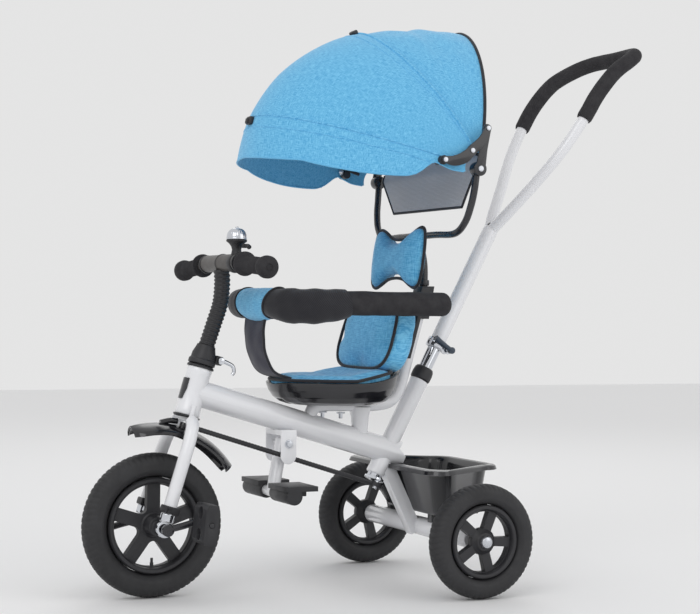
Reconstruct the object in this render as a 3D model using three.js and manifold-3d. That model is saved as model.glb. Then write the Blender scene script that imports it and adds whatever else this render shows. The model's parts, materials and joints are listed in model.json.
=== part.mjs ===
// A child's tricycle with a parent push bar, a folding canopy, a guard bar and a rear basket.
// Millimetres, +Z up, the rider faces -Y and the rider's left is +X.
import * as THREE from "three";
import { mergeVertices } from "three/addons/utils/BufferGeometryUtils.js";
import Module from "manifold-3d";

const wasm = await Module();
wasm.setup();

const deg = Math.PI / 180;

// Gap kept between neighbours that are fixed together, and between pieces that turn on each other.
const gap = 0.3;
const running = 0.5;

// Wheels.
const frontWheelRadius = 127;
const rearWheelRadius = 102;
const frontTyreWidth = 46;
const rearTyreWidth = 42;
const frontTyreDepth = 42;
const rearTyreDepth = 36;
const wheelbase = 535;
const rearTrack = 458;
const wheelSides = 36;
const spokeCount = 5;
const spokeWidth = 24;
const rearRimTurn = -21;

// Steering column, measured along the head axis from the level of the front hub.
const steerTilt = 16.1 * deg;
const forkOffset = 6.3;
const headTubeBase = 202;
const headTubeLength = 86;
const headTubeRadius = 22;
const steererRadius = 12;
const crownHeight = 188;
const crownThickness = 8;
const legRadius = 11.5;
const legSpread = 62;
const stemRadius = 13.5;
const barHeight = 480;
const barForward = 12;
const barRadius = 11;
const barSleeveRadius = 15;
const barHalfLength = 205;
const gripLength = 106;

// Cranks and pedals.
const axleRadius = 6;
const crankLength = 57;
const crankAngle = 14 * deg;
const pedalSpan = 58;
const pedalHalf = 34;
const pedalPinRadius = 4.5;
const pedalHang = 84 * deg;

// Fender over the front wheel, with angles from straight up, backwards positive.
const fenderRadius = 178.5;
const fenderHalfWidth = 35;
const fenderFront = -14 * deg;
const fenderRear = 56 * deg;

// Backbone tube: its centre line falls towards the back.
const spineFrontY = 76;
const spineSlope = 16.4 * deg;
const spineHeightAtSleeve = 260;
const spineSleeveY = 416;
const spineEndY = 492;
const spineHalfWidth = 22;
const spineHalfHeight = 24;

// Push bar, measured along its own axis from a point inside the backbone's rear end.
const pushTilt = 27.8 * deg;
const pushBaseY = 456;
const pushBaseZ = 238;
const sleeveBottom = -40;
const sleeveTop = 158;
const shaftRadius = 12.8;
const sleeveRadius = shaftRadius + 4.2;
const shaftBottom = -52;
const shaftTop = 330;
const collarHeight = 26;
const pushTubeRadius = shaftRadius + 2.2;
const pushTubeBottom = 226;
const pushTubeTop = 490;
const clampLeverLength = 46;
const handleTubeRadius = 11;
const handleFoamRadius = 15;
const foamStart = 737;

// Steering link between the fork and the push bar.
const linkOffset = 27;
const linkRodRadius = 4.7;
const linkPinRadius = 4;
const linkBack = -1;
const linkEyeDrop = 4;
const openPivotClearance = 3;

// Rear frame and basket.
const axleTubeRadius = 17.5;
const axleTubeHalfLength = rearTrack / 2 - 29;
const rearAxleRadius = 5;
const strutWidth = 24;
const strutTop = [458, 222];
const strutFoot = [wheelbase - 16, rearWheelRadius - 2];
const strutLean = Math.atan2(strutFoot[0] - strutTop[0], strutTop[1] - strutFoot[1]);
const basketTop = 222;
const basketBottom = 133;
const basketWall = 3;
const rimLip = 18;
const basketLip = 8;

// Seat, guard bar and cushions.
const seatTubeRadius = 12;
const seatTubeHeight = 333;
const seatBackTilt = 15.6 * deg;
const seatCentreY = 345;
const seatHalfLength = 121;
const seatHalfWidth = 116;
const seatBottom = 334;
const seatFloor = 352;
const seatRim = 374;
const seatRimRise = 28;
const guardHeight = 521;
const guardHalfWidth = 145;
const guardFrontY = 197;
const guardRearY = 490;
const guardCorner = 75;
const guardFoamRadius = 21.5;
const coverHalfWidth = 62;
const backPadThickness = 54;

// Footrest.
const footPivotY = 245;
const footPivotZ = 266;
const footBarZ = 178;
const footBarY = 228;
const footBarRadius = 10;
const footBarHalfLength = 96;
const footCheekX = 34;

// Canopy: bows turn about the pivots, with angles from straight forwards, upwards positive.
const canopyPivotY = 537;
const canopyPivotZ = 765;
const canopyHalfWidth = 197;
const canopySkin = 2.5;
const midBowAngle = 60;
const rearBowAngle = 103;
const canopyTubeRadius = 6.5;
const bowRadius = 3;
const frontBowEnd = 50;
const rearBowEnd = 26;
const canopyBarY = 523;
const canopyBarZ = 651;
const stretcherX = 207.4;
const stretcherThickness = 3;
const stretcherPlay = 3.5;

// Distance from the front hub back to the middle of the whole length.
const middleY = 429.7;

const finish = (color, roughness, metalness = 0) =>
  new THREE.MeshStandardMaterial({ color, roughness, metalness });
const whitePaint = finish(0xf0f0f6, 0.3);
const blackPlastic = finish(0x18181b, 0.45);
const blackGloss = finish(0x121216, 0.22);
const blackPaint = finish(0x17171c, 0.3);
const tyreRubber = finish(0x242426, 0.85);
const foamBlack = finish(0x2b2b31, 0.9);
const chrome = finish(0xc4c8d0, 0.18, 1);
const blueFabric = finish(0x62b4e4, 0.9);
const meshFabric = finish(0xd8d4d6, 0.85);
const strapFabric = finish(0x1c1c30, 0.85);
const leverBlue = finish(0x3c4d63, 0.5);
const sleeveGrey = finish(0x4b4644, 0.7);

// Signed volume, to tell whether a closed surface faces outwards.
function signedVolume(position, index) {
  const a = new THREE.Vector3();
  const b = new THREE.Vector3();
  const c = new THREE.Vector3();
  let sum = 0;
  for (let i = 0; i < index.length; i += 3) {
    a.fromArray(position, 3 * index[i]);
    b.fromArray(position, 3 * index[i + 1]);
    c.fromArray(position, 3 * index[i + 2]);
    sum += a.dot(b.cross(c));
  }
  return sum / 6;
}

// A closed geometry as a solid that can be joined and cut, its faces turned outwards.
function solid(geometry) {
  const source = geometry.index ? geometry.toNonIndexed() : geometry;
  const bare = new THREE.BufferGeometry();
  bare.setAttribute("position", source.getAttribute("position"));
  const merged = mergeVertices(bare, 1e-3);
  const points = merged.attributes.position.array;
  const triangles = new Uint32Array(merged.index.array);
  if (signedVolume(points, triangles) < 0) {
    for (let i = 0; i < triangles.length; i += 3) {
      [triangles[i + 1], triangles[i + 2]] = [triangles[i + 2], triangles[i + 1]];
    }
  }
  return new wasm.Manifold(new wasm.Mesh({ numProp: 3, vertProperties: points, triVerts: triangles }));
}

function join(first, ...others) {
  return others.reduce((made, other) => made.add(other), first);
}

function cut(first, ...others) {
  return others.reduce((made, other) => made.subtract(other), first);
}

// One named sub-part.
function part(name, shape, material) {
  const made = shape.getMesh();
  const geometry = new THREE.BufferGeometry();
  geometry.setAttribute("position", new THREE.BufferAttribute(made.vertProperties, 3));
  geometry.setIndex(new THREE.BufferAttribute(made.triVerts, 1));
  geometry.computeVertexNormals();
  const mesh = new THREE.Mesh(geometry, material);
  mesh.name = name;
  return mesh;
}

// A body of revolution about +Z from [radius, height] pairs.
function turned(profile, sides = 24, closed = false) {
  const points = profile.map(([r, z]) => new THREE.Vector2(r, z));
  if (closed) points.push(points[0].clone());
  const lathe = new THREE.LatheGeometry(points, sides, Math.PI / sides);
  return solid(lathe.rotateX(Math.PI / 2));
}

// A round bar between two points.
function rod(from, to, radius, sides = 16) {
  const start = new THREE.Vector3(...from);
  const end = new THREE.Vector3(...to);
  const along = end.clone().sub(start);
  const cylinder = new THREE.CylinderGeometry(radius, radius, along.length(), sides);
  cylinder.rotateX(Math.PI / 2);
  const turn = new THREE.Quaternion().setFromUnitVectors(new THREE.Vector3(0, 0, 1), along.normalize());
  cylinder.applyQuaternion(turn);
  const middle = start.add(end).multiplyScalar(0.5);
  return solid(cylinder.translate(middle.x, middle.y, middle.z));
}

function block(width, depth, height, centre) {
  return solid(new THREE.BoxGeometry(width, depth, height).translate(...centre));
}

// A smooth path through points.
function smoothPath(points) {
  return new THREE.CatmullRomCurve3(points.map((p) => new THREE.Vector3(...p)), false, "centripetal");
}

// A round or oval bar swept along a path.
function swept(path, radius, steps, sides = 12) {
  const outline = new THREE.Shape();
  outline.absarc(0, 0, radius, 0, 2 * Math.PI, false);
  const options = { extrudePath: path, steps, curveSegments: sides / 2, bevelEnabled: false };
  return solid(new THREE.ExtrudeGeometry(outline, options));
}

// A flat outline in the Y-Z plane given as [y, z] pairs, made width thick about the plane x.
function sidePlate(outline, width, x = 0, bevel = 0) {
  const shape = new THREE.Shape(outline.map(([y, z]) => new THREE.Vector2(y, z)));
  return sideSolid(shape, width, x, bevel);
}

function sideSolid(shape, width, x = 0, bevel = 0) {
  const options = {
    depth: width - 2 * bevel,
    bevelEnabled: bevel > 0,
    bevelThickness: bevel,
    bevelSize: bevel,
    bevelOffset: -bevel,
    bevelSegments: 2,
    curveSegments: 5,
  };
  const plate = new THREE.ExtrudeGeometry(shape, options);
  plate.translate(0, 0, -(width - 2 * bevel) / 2);
  const toSide = new THREE.Matrix4().makeBasis(
    new THREE.Vector3(0, 1, 0),
    new THREE.Vector3(0, 0, 1),
    new THREE.Vector3(1, 0, 0),
  );
  plate.applyMatrix4(toSide);
  return solid(plate.translate(x, 0, 0));
}

// A bar outline with round ends between two [y, z] points.
function linkShape([y1, z1], [y2, z2], radius) {
  const heading = Math.atan2(z2 - z1, y2 - y1);
  const shape = new THREE.Shape();
  shape.absarc(y1, z1, radius, heading + Math.PI / 2, heading + 1.5 * Math.PI, false);
  shape.absarc(y2, z2, radius, heading - Math.PI / 2, heading + Math.PI / 2, false);
  shape.closePath();
  return shape;
}

// A closed skin between matching rings, with each end closed to its middle.
function lofted(rings) {
  const count = rings[0].length;
  const positions = rings.flat();
  const index = [];
  for (let i = 0; i + 1 < rings.length; i++) {
    for (let j = 0; j < count; j++) {
      const k = (j + 1) % count;
      const low = i * count;
      const high = low + count;
      index.push(low + j, low + k, high + k, low + j, high + k, high + j);
    }
  }
  const middleOf = (ring) => ring.reduce((sum, p) => sum.map((v, i) => v + p[i] / count), [0, 0, 0]);
  const first = positions.push(middleOf(rings[0])) - 1;
  const last = positions.push(middleOf(rings.at(-1))) - 1;
  const top = (rings.length - 1) * count;
  for (let j = 0; j < count; j++) {
    const k = (j + 1) % count;
    index.push(first, k, j, last, top + j, top + k);
  }
  return indexed(positions, index);
}

// A closed skin of some thickness: point(u, v, inner) gives its outer and its inner face.
function sheet(rows, columns, point) {
  const positions = [];
  for (const inner of [false, true]) {
    for (let i = 0; i <= rows; i++) {
      for (let j = 0; j <= columns; j++) positions.push(point(i / rows, j / columns, inner));
    }
  }
  const layer = (rows + 1) * (columns + 1);
  const at = (i, j, side) => side * layer + i * (columns + 1) + j;
  const index = [];
  const quad = (a, b, c, d) => index.push(a, b, c, a, c, d);
  for (let i = 0; i < rows; i++) {
    for (let j = 0; j < columns; j++) {
      quad(at(i, j, 0), at(i, j + 1, 0), at(i + 1, j + 1, 0), at(i + 1, j, 0));
      quad(at(i, j, 1), at(i + 1, j, 1), at(i + 1, j + 1, 1), at(i, j + 1, 1));
    }
    quad(at(i, 0, 0), at(i + 1, 0, 0), at(i + 1, 0, 1), at(i, 0, 1));
    quad(at(i, columns, 0), at(i, columns, 1), at(i + 1, columns, 1), at(i + 1, columns, 0));
  }
  for (let j = 0; j < columns; j++) {
    quad(at(0, j, 0), at(0, j, 1), at(0, j + 1, 1), at(0, j + 1, 0));
    quad(at(rows, j, 0), at(rows, j + 1, 0), at(rows, j + 1, 1), at(rows, j, 1));
  }
  return indexed(positions, index);
}

function indexed(positions, index) {
  const geometry = new THREE.BufferGeometry();
  geometry.setAttribute("position", new THREE.Float32BufferAttribute(positions.flat(), 3));
  geometry.setIndex(index);
  return solid(geometry);
}

function mirrored(points) {
  return points.concat(points.slice(0, -1).reverse().map(([x, y, z]) => [-x, y, z]));
}

function mix(a, b, t) {
  return a + (b - a) * t;
}

// Where the axes stand.
const hubZ = frontWheelRadius;
const steerFrame = new THREE.Matrix4()
  .makeTranslation(0, forkOffset * Math.cos(steerTilt), hubZ - forkOffset * Math.sin(steerTilt))
  .multiply(new THREE.Matrix4().makeRotationX(-steerTilt));
const pushFrame = new THREE.Matrix4()
  .makeTranslation(0, pushBaseY, pushBaseZ)
  .multiply(new THREE.Matrix4().makeRotationX(-pushTilt));
const backFrame = new THREE.Matrix4()
  .makeTranslation(0, 497, 400)
  .multiply(new THREE.Matrix4().makeRotationX(-seatBackTilt));

function inFrame(shape, frame) {
  return shape.transform(frame.elements);
}

function toWorld(point, frame) {
  return new THREE.Vector3(...point).applyMatrix4(frame).toArray();
}

// ---- Wheels ----

function tyre(name, radius, width, depth) {
  const half = width / 2;
  const inner = radius - depth;
  const tread = radius / Math.cos(Math.PI / wheelSides);
  const profile = [
    [tread, -8],
    [tread, 8],
    [tread - 4, half * 0.76],
    [radius - depth * 0.5, half],
    [inner, half * 0.6],
    [inner, -half * 0.6],
    [radius - depth * 0.5, -half],
    [tread - 4, -half * 0.76],
  ];
  const ring = turned(profile, wheelSides, true).rotate([0, 90, 0]);
  return part(name, ring, tyreRubber);
}

// One opening between two spokes, rounded towards the hub.
function spokeWindow(hubRadius, outerRadius, middle) {
  const spokeHalf = Math.asin(spokeWidth / 2 / outerRadius);
  const from = middle - Math.PI / spokeCount + spokeHalf;
  const to = middle + Math.PI / spokeCount - spokeHalf;
  const reach = spokeWidth / 2 / Math.sin(Math.PI / spokeCount);
  const apex = Math.max(reach, hubRadius + 2) + 4;
  const path = new THREE.Path();
  path.absarc(0, 0, outerRadius, from, to, false);
  path.quadraticCurveTo(
    apex * Math.cos(middle),
    apex * Math.sin(middle),
    outerRadius * Math.cos(from),
    outerRadius * Math.sin(from),
  );
  return path;
}

function rim(name, radius, width, depth, boreRadius, hubHalf, turn = 0) {
  const ringOuter = radius - depth - gap;
  const ringInner = ringOuter - 11;
  const half = width * 0.36;
  const ring = turned(
    [
      [ringInner, -half],
      [ringInner, half],
      [ringOuter, half],
      [ringOuter, -half],
    ],
    wheelSides,
    true,
  );
  const discSides = 24;
  const discPoints = Array.from({ length: discSides }, (_, i) => {
    const angle = (i * 2 * Math.PI) / discSides;
    return new THREE.Vector2((ringInner + 3) * Math.cos(angle), (ringInner + 3) * Math.sin(angle));
  });
  const disc = new THREE.Shape(discPoints);
  for (let i = 0; i < spokeCount; i++) {
    disc.holes.push(spokeWindow(17, ringInner - 0.5, (i * 2 * Math.PI) / spokeCount));
  }
  const options = { depth: 14, bevelEnabled: false, curveSegments: 4 };
  const spokes = solid(new THREE.ExtrudeGeometry(disc, options).translate(0, 0, -7));
  const hub = turned([[0, -hubHalf], [16, -hubHalf], [17, -9], [17, 9], [16, hubHalf], [0, hubHalf]], 16);
  const bore = turned([[0, -60], [boreRadius, -60], [boreRadius, 60], [0, 60]], 16);
  return part(
    name,
    cut(join(ring, spokes, hub), bore).rotate([0, 90, 0]).rotate([turn, 0, 0]),
    blackPlastic,
  );
}

function crankAxle() {
  const crankX = legSpread + legRadius + 4;
  const arms = [1, -1].flatMap((side) => {
    const y = side * crankLength * Math.cos(crankAngle);
    const z = side * crankLength * Math.sin(crankAngle);
    const from = [side * (crankX + 4), 0, 0];
    const to = [side * (crankX + 4), y, z];
    return [rod(from, to, 5.5, 12), rod(to, [side * (crankX + pedalSpan + 14), y, z], pedalPinRadius, 16)];
  });
  const shaft = rod([-crankX - 8, 0, 0], [crankX + 8, 0, 0], axleRadius, 20);
  return part("crank_axle", join(shaft, ...arms), blackPaint);
}

function pedal(name) {
  const body = new THREE.Shape();
  body.moveTo(-pedalHalf, -8);
  body.lineTo(8 - pedalHalf, -12);
  body.lineTo(pedalHalf - 8, -12);
  body.lineTo(pedalHalf, -8);
  body.lineTo(pedalHalf, 8);
  body.lineTo(pedalHalf - 8, 12);
  body.lineTo(8 - pedalHalf, 12);
  body.lineTo(-pedalHalf, 8);
  body.closePath();
  const slab = sideSolid(body, pedalSpan, 0);
  const hole = turned([[0, -20], [10.5, -20], [10.5, 20], [0, 20]], 16);
  const holes = [-1, 1].map((side) => hole.translate([0, side * pedalHalf * 0.54, 0]));
  const bore = rod([-60, 0, 0], [60, 0, 0], pedalPinRadius + running, 16);
  return part(name, cut(slab, ...holes, bore), blackPlastic);
}

function frontWheel() {
  const wheel = new THREE.Group();
  wheel.add(
    tyre("front_tyre", frontWheelRadius, frontTyreWidth, frontTyreDepth),
    rim("front_rim", frontWheelRadius, frontTyreWidth, frontTyreDepth, axleRadius + gap, 34),
    crankAxle(),
  );
  const y = crankLength * Math.cos(crankAngle);
  const z = crankLength * Math.sin(crankAngle);
  const pedalX = legSpread + legRadius + 4 + 12 + pedalSpan / 2;
  for (const [name, side] of [["pedal_left", 1], ["pedal_right", -1]]) {
    const mesh = pedal(name);
    mesh.position.set(side * pedalX, side * y, side * z);
    mesh.rotation.x = pedalHang;
    wheel.add(mesh);
  }
  wheel.position.z = hubZ;
  return wheel;
}

function rearWheel(sideName, side) {
  const wheel = new THREE.Group();
  wheel.add(
    tyre(sideName + "_rear_tyre", rearWheelRadius, rearTyreWidth, rearTyreDepth),
    rim(
      sideName + "_rear_rim",
      rearWheelRadius,
      rearTyreWidth,
      rearTyreDepth,
      rearAxleRadius + running,
      17,
      rearRimTurn,
    ),
  );
  wheel.position.set((side * rearTrack) / 2, wheelbase, rearWheelRadius);
  return wheel;
}

// ---- Steering: everything that turns with the fork, in the head axis's own frame ----

function fork() {
  const legPath = smoothPath([
    [legSpread, -forkOffset, 12],
    [legSpread, -forkOffset, 70],
    [legSpread - 1, -5, 125],
    [legSpread - 6, -3, 160],
    [46, -1, crownHeight + 3],
  ]);
  const left = swept(legPath, legRadius, 8, 10);
  const right = left.mirror([1, 0, 0]);
  const crown = block(112, 34, crownThickness, [0, 0, crownHeight + crownThickness / 2]);
  const steerer = turned(
    [[0, crownHeight + 1], [steererRadius, crownHeight + 1], [steererRadius, 315], [0, 315]],
    20,
  );
  const above = block(140, 80, 60, [0, 0, crownHeight + crownThickness + 30]);
  const dropout = (side) => {
    const inside = [side * (legSpread - 4), -forkOffset, 0];
    const outside = [side * (legSpread + 4), -forkOffset, 0];
    const tab = rod(inside, outside, 15, 16);
    const neck = block(8, 20, 24, [side * legSpread, -forkOffset, 12]);
    return join(tab, neck);
  };
  const bore = rod([-90, -forkOffset, 0], [90, -forkOffset, 0], axleRadius + running, 12);
  const arm = block(linkOffset + 8, 22, 5, [(linkOffset + 8) / 2, linkBack, crownHeight + 2.5]);
  const pinHole = rod(
    [linkOffset, linkBack, 170],
    [linkOffset, linkBack, 220],
    linkPinRadius + running,
    10,
  );
  const legs = cut(join(left, right), above);
  const made = cut(join(crown, legs, dropout(1), dropout(-1), steerer, arm), bore, pinHole);
  return part("fork", made, whitePaint);
}

function fender() {
  const skin = 3;
  const made = sheet(10, 6, (u, v, inner) => {
    const angle = mix(fenderFront, fenderRear, u);
    const across = mix(-1, 1, v);
    const taper = 1 - 0.4 * u ** 2;
    const radius = fenderRadius - 13 * across * across - (inner ? skin : 0);
    const x = across * (fenderHalfWidth - (inner ? skin * 0.4 : 0)) * taper;
    return [x, radius * Math.sin(angle), radius * Math.cos(angle)];
  });
  const aboutHub = new THREE.Matrix4()
    .makeTranslation(0, -forkOffset, 0)
    .multiply(new THREE.Matrix4().makeRotationX(steerTilt));
  const boss = rod([0, 0, fenderRadius - 8], [0, 0, crownHeight - gap], 7, 12);
  return part("front_fender", join(inFrame(made, aboutHub), boss), blackGloss);
}

function stemCollar() {
  const base = headTubeBase + headTubeLength;
  const profile = [
    [steererRadius + gap, base + 6],
    [24, base + 6],
    [24, base + 14],
    [21, base + 30],
    [17, base + 40],
    [steererRadius + gap, base + 40],
  ];
  const ears = block(18, 14, 16, [0, 28, base + 22]);
  const bore = turned([[0, 200], [steererRadius + gap, 200], [steererRadius + gap, 400], [0, 400]], 18);
  return part("stem_collar", cut(join(turned(profile, 18, true), ears), bore), blackPlastic);
}

function stemLever() {
  const base = headTubeBase + headTubeLength + 22;
  const hub = rod([12 - 2.5, 30, base], [16, 30, base], 6, 12);
  const arm = block(6, 30, 9, [13, 44, base - 2]);
  const hook = block(6, 8, 18, [13, 56, base - 8]);
  return part("stem_lever", join(hub, arm, hook), chrome);
}

const stemLine = [
  [0, 0, 329],
  [0, 2, 372],
  [0, 3, 410],
  [0, -4, 446],
  [0, -barForward, barHeight],
];

function stem() {
  const sleeve = swept(smoothPath(stemLine), stemRadius, 8, 12);
  const bar = rod([-80, -barForward, barHeight], [80, -barForward, barHeight], barSleeveRadius + gap, 24);
  return part("stem", cut(sleeve, bar), blackPlastic);
}

const barRise = (x) => -11 * (Math.abs(x) / barHalfLength) ** 2;

function handlebar() {
  const line = [-1, -0.75, -0.5, -0.25, 0, 0.25, 0.5, 0.75, 1].map((t) => {
    const x = t * barHalfLength;
    return [x, 0, barRise(x)];
  });
  const tube = swept(smoothPath(line), barRadius, 10, 12);
  const sleeve = rod([-44, 0, 0], [44, 0, 0], barSleeveRadius, 24);
  return part("handlebar", join(tube, sleeve), sleeveGrey);
}

function grip(name, side) {
  const start = barHalfLength - gripLength;
  const end = barHalfLength + 6;
  const path = new THREE.LineCurve3(
    new THREE.Vector3(side * start, 0, barRise(start)),
    new THREE.Vector3(side * end, 0, barRise(barHalfLength) - 1),
  );
  const tilt = Math.atan2(barRise(start) - barRise(barHalfLength) + 1, end - start);
  const length = path.getLength();
  const profile = [
    [0, 0],
    [20, 0],
    [20, 5],
    [14.5, 8],
    [14.5, length - 22],
    [17.5, length - 15],
    [17.5, length - 5],
    [12, length],
    [0, length],
  ];
  const body = turned(profile, 14).rotate([0, 90 + tilt / deg, 0]).translate([start, 0, barRise(start)]);
  const line = [0.2, 0.4, 0.6, 0.8, 1].map((t) =>
    [t * barHalfLength * 1.0005, 0, barRise(t * barHalfLength)]);
  const bore = swept(smoothPath(line), barRadius + gap * 2, 6, 12);
  const made = cut(body, bore);
  return part(name, side > 0 ? made : made.mirror([1, 0, 0]), foamBlack);
}

const bellX = 62;

function bellBody() {
  const clampBand = rod([bellX - 8, 0, barRise(bellX)], [bellX + 8, 0, barRise(bellX)], 15, 20);
  const bore = rod(
    [bellX - 20, 0, barRise(bellX)],
    [bellX + 20, 0, barRise(bellX)],
    barRadius + gap * 3,
    20,
  );
  const neck = turned([[0, 10], [8, 10], [8, 22], [12, 32], [18, 38], [18, 41], [0, 41]], 20);
  const standing = neck.translate([bellX, 0, barRise(bellX)]);
  return part("bell_body", cut(join(clampBand, standing), bore), blackPlastic);
}

function bellDome() {
  const profile = [[0, 41 + gap], [17, 41 + gap], [17, 48], [14.5, 56], [9, 61], [0, 63]];
  const dome = turned(profile, 20).translate([bellX, 0, barRise(bellX)]);
  return part("bell_dome", dome, chrome);
}

function bellLever() {
  const z = barRise(bellX) + 30;
  const hub = rod([bellX + 17, 8, z - 3], [bellX + 17, 8, z + 3], 5, 12);
  const arm = block(20, 6, 5, [bellX + 27, 8, z]);
  return part("bell_lever", join(hub, arm), blackPlastic);
}

function steering() {
  const column = new THREE.Group();
  column.add(fork(), fender(), stemCollar(), stemLever(), stem());
  const bar = new THREE.Group();
  bar.add(handlebar(), grip("grip_left", 1), grip("grip_right", -1), bellBody(), bellDome(), bellLever());
  bar.position.set(0, -barForward, barHeight);
  bar.rotation.x = steerTilt;
  column.add(bar);
  column.applyMatrix4(steerFrame);
  return column;
}

// ---- Frame ----

const spineZ = (y) => spineHeightAtSleeve + (spineSleeveY - y) * Math.tan(spineSlope);

function spineSolid(grow = 0) {
  const outline = new THREE.Shape();
  outline.absellipse(0, 0, spineHalfWidth + grow, spineHalfHeight + grow, 0, 2 * Math.PI, false);
  const length = (spineEndY - spineFrontY) / Math.cos(spineSlope);
  const options = { depth: length, curveSegments: 14, bevelEnabled: false };
  const bar = new THREE.ExtrudeGeometry(outline, options);
  bar.rotateX(-Math.PI / 2 - spineSlope);
  bar.translate(0, spineFrontY, spineZ(spineFrontY));
  return solid(bar);
}

function headTubeSolid(grow = 0, bored = true) {
  const top = headTubeBase + headTubeLength;
  const outer = headTubeRadius + grow;
  const bore = steererRadius + 1.5;
  const profile = bored
    ? [[bore, headTubeBase], [outer, headTubeBase], [outer, top], [bore, top]]
    : [[0, headTubeBase], [outer, headTubeBase], [outer, top], [0, top]];
  return inFrame(turned(profile, 28, bored), steerFrame);
}

function headset(name, from, to) {
  const inner = steererRadius + 1.5;
  const outer = headTubeRadius + 2;
  const ring = turned([[inner, from], [outer, from], [outer, to], [inner, to]], 24, true);
  return part(name, inFrame(ring, steerFrame), blackPlastic);
}

function sleeveSolid(grow = 0, bored = true) {
  const inner = shaftRadius + running;
  const outer = sleeveRadius + grow;
  const profile = bored
    ? [[inner, sleeveBottom], [outer, sleeveBottom], [outer, sleeveTop], [inner, sleeveTop]]
    : [[0, sleeveBottom - grow], [outer, sleeveBottom - grow], [outer, sleeveTop], [0, sleeveTop]];
  return inFrame(turned(profile, 24, bored), pushFrame);
}

function mainTube() {
  const wedge = block(80, 120, 60, [0, 0, 0]).rotate([40, 0, 0]).translate([0, spineEndY + 52, 266]);
  const under = block(80, 160, 60, [0, spineEndY, basketTop + 1 - 30]);
  const shape = cut(spineSolid(), headTubeSolid(gap, false), sleeveSolid(gap, false), wedge, under);
  return part("main_tube", shape, whitePaint);
}

function rearStrut() {
  const shape = linkShape(strutTop, strutFoot, strutWidth / 2);
  const bar = sideSolid(shape, strutWidth, 0, 5);
  const tube = rod(
    [-60, wheelbase, rearWheelRadius],
    [60, wheelbase, rearWheelRadius],
    axleTubeRadius + gap,
    24,
  );
  const above = block(60, 80, 60, [0, strutTop[0], basketTop + 1 - gap + 30]);
  return part("rear_strut", cut(bar, tube, above, sleeveSolid(gap, false), spineSolid(gap)), whitePaint);
}

function rearAxleTube() {
  const tube = rod([-axleTubeHalfLength, wheelbase, rearWheelRadius],
    [axleTubeHalfLength, wheelbase, rearWheelRadius], axleTubeRadius, 24);
  const end = rearTrack / 2 + 19;
  const axle = rod(
    [-end, wheelbase, rearWheelRadius],
    [end, wheelbase, rearWheelRadius],
    rearAxleRadius,
    16,
  );
  return part("rear_axle_tube", join(tube, axle), whitePaint);
}

const seatLine = smoothPath([
  [0, 302, 314],
  [0, 310, 328],
  [0, 330, seatTubeHeight],
  [0, 390, seatTubeHeight],
  [0, 440, seatTubeHeight],
  [0, 470, 341],
  [0, 487, 366],
  [0, 497, 400],
  [0, 511, 450],
  [0, 525, 500],
]);

function seatTube() {
  const tube = swept(seatLine, seatTubeRadius, 18, 12);
  const cone = turned([[0, 262], [14, 262], [21, seatTubeHeight - 4], [0, seatTubeHeight - 4]], 20);
  const made = cut(join(tube, cone.translate([0, 405, 0])), spineSolid(gap));
  return part("seat_tube", made, whitePaint);
}

// Outline of the seat seen from above, narrower towards the nose.
function seatRing(scale, height, rise = 0) {
  return Array.from({ length: 32 }, (_, i) => {
    const angle = (i * 2 * Math.PI) / 32;
    const c = Math.cos(angle);
    const s = Math.sin(angle);
    const forward = Math.max(0, -s);
    const x = seatHalfWidth * scale * Math.sign(c) * Math.abs(c) ** 0.8 * (1 - 0.22 * forward);
    const y = seatCentreY + seatHalfLength * scale * Math.sign(s) * Math.abs(s) ** 0.8;
    const back = Math.max(0, (y - seatCentreY) / seatHalfLength);
    return [x, y, height + rise * back * back];
  });
}

function seatShell() {
  const shell = lofted([
    seatRing(0.74, seatBottom),
    seatRing(0.9, seatBottom + 10),
    seatRing(0.97, seatRim - 10, seatRimRise * 0.6),
    seatRing(1, seatRim, seatRimRise),
    seatRing(0.965, seatRim, seatRimRise),
    seatRing(0.93, seatFloor + 8, seatRimRise * 0.3),
    seatRing(0.84, seatFloor),
  ]);
  const channelTop = seatTubeHeight + seatTubeRadius + 1.5;
  const channel = block(2 * seatTubeRadius + 3, 400, 40, [0, 400, channelTop - 20]);
  return part("seat_shell", cut(shell, channel, swept(seatLine, seatTubeRadius + 1.5, 18, 12)), blackGloss);
}

function seatPad() {
  const pad = lofted([
    seatRing(0.8, seatFloor + gap + 0.5),
    seatRing(0.86, seatFloor + 12),
    seatRing(0.86, seatFloor + 24),
    seatRing(0.78, seatFloor + 30),
  ]);
  const behind = block(300, 200, 100, [0, 560, 380]);
  const backSpace = block(240, backPadThickness + 100, 400, [0, 5 - backPadThickness / 2, 150]);
  const backPad = inFrame(backSpace, backFrame);
  return part("seat_pad", cut(pad, behind, backPad), blueFabric);
}

function backPad() {
  const shape = new THREE.Shape();
  shape.moveTo(-74, -20);
  shape.lineTo(74, -20);
  shape.quadraticCurveTo(112, 20, 92, 100);
  shape.quadraticCurveTo(0, 112, -92, 100);
  shape.quadraticCurveTo(-112, 20, -74, -20);
  const options = {
    depth: backPadThickness - 24,
    bevelThickness: 12,
    bevelSize: 12,
    bevelOffset: -12,
    bevelSegments: 2,
    curveSegments: 6,
  };
  const pad = new THREE.ExtrudeGeometry(shape, options).rotateX(Math.PI / 2);
  pad.translate(0, -44 - gap - 12, 0);
  return part("back_pad", inFrame(solid(pad), backFrame), blueFabric);
}

function backBoard() {
  const board = block(168, 8, 86, [0, -40, 55]);
  const bracket = block(26, 24 - gap, 50, [0, -24.5, 62]);
  const tube = rod([0, 0, -40], [0, 0, 160], seatTubeRadius + 2, 16);
  return part("back_board", inFrame(cut(join(board, bracket), tube), backFrame), blackPlastic);
}

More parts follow.
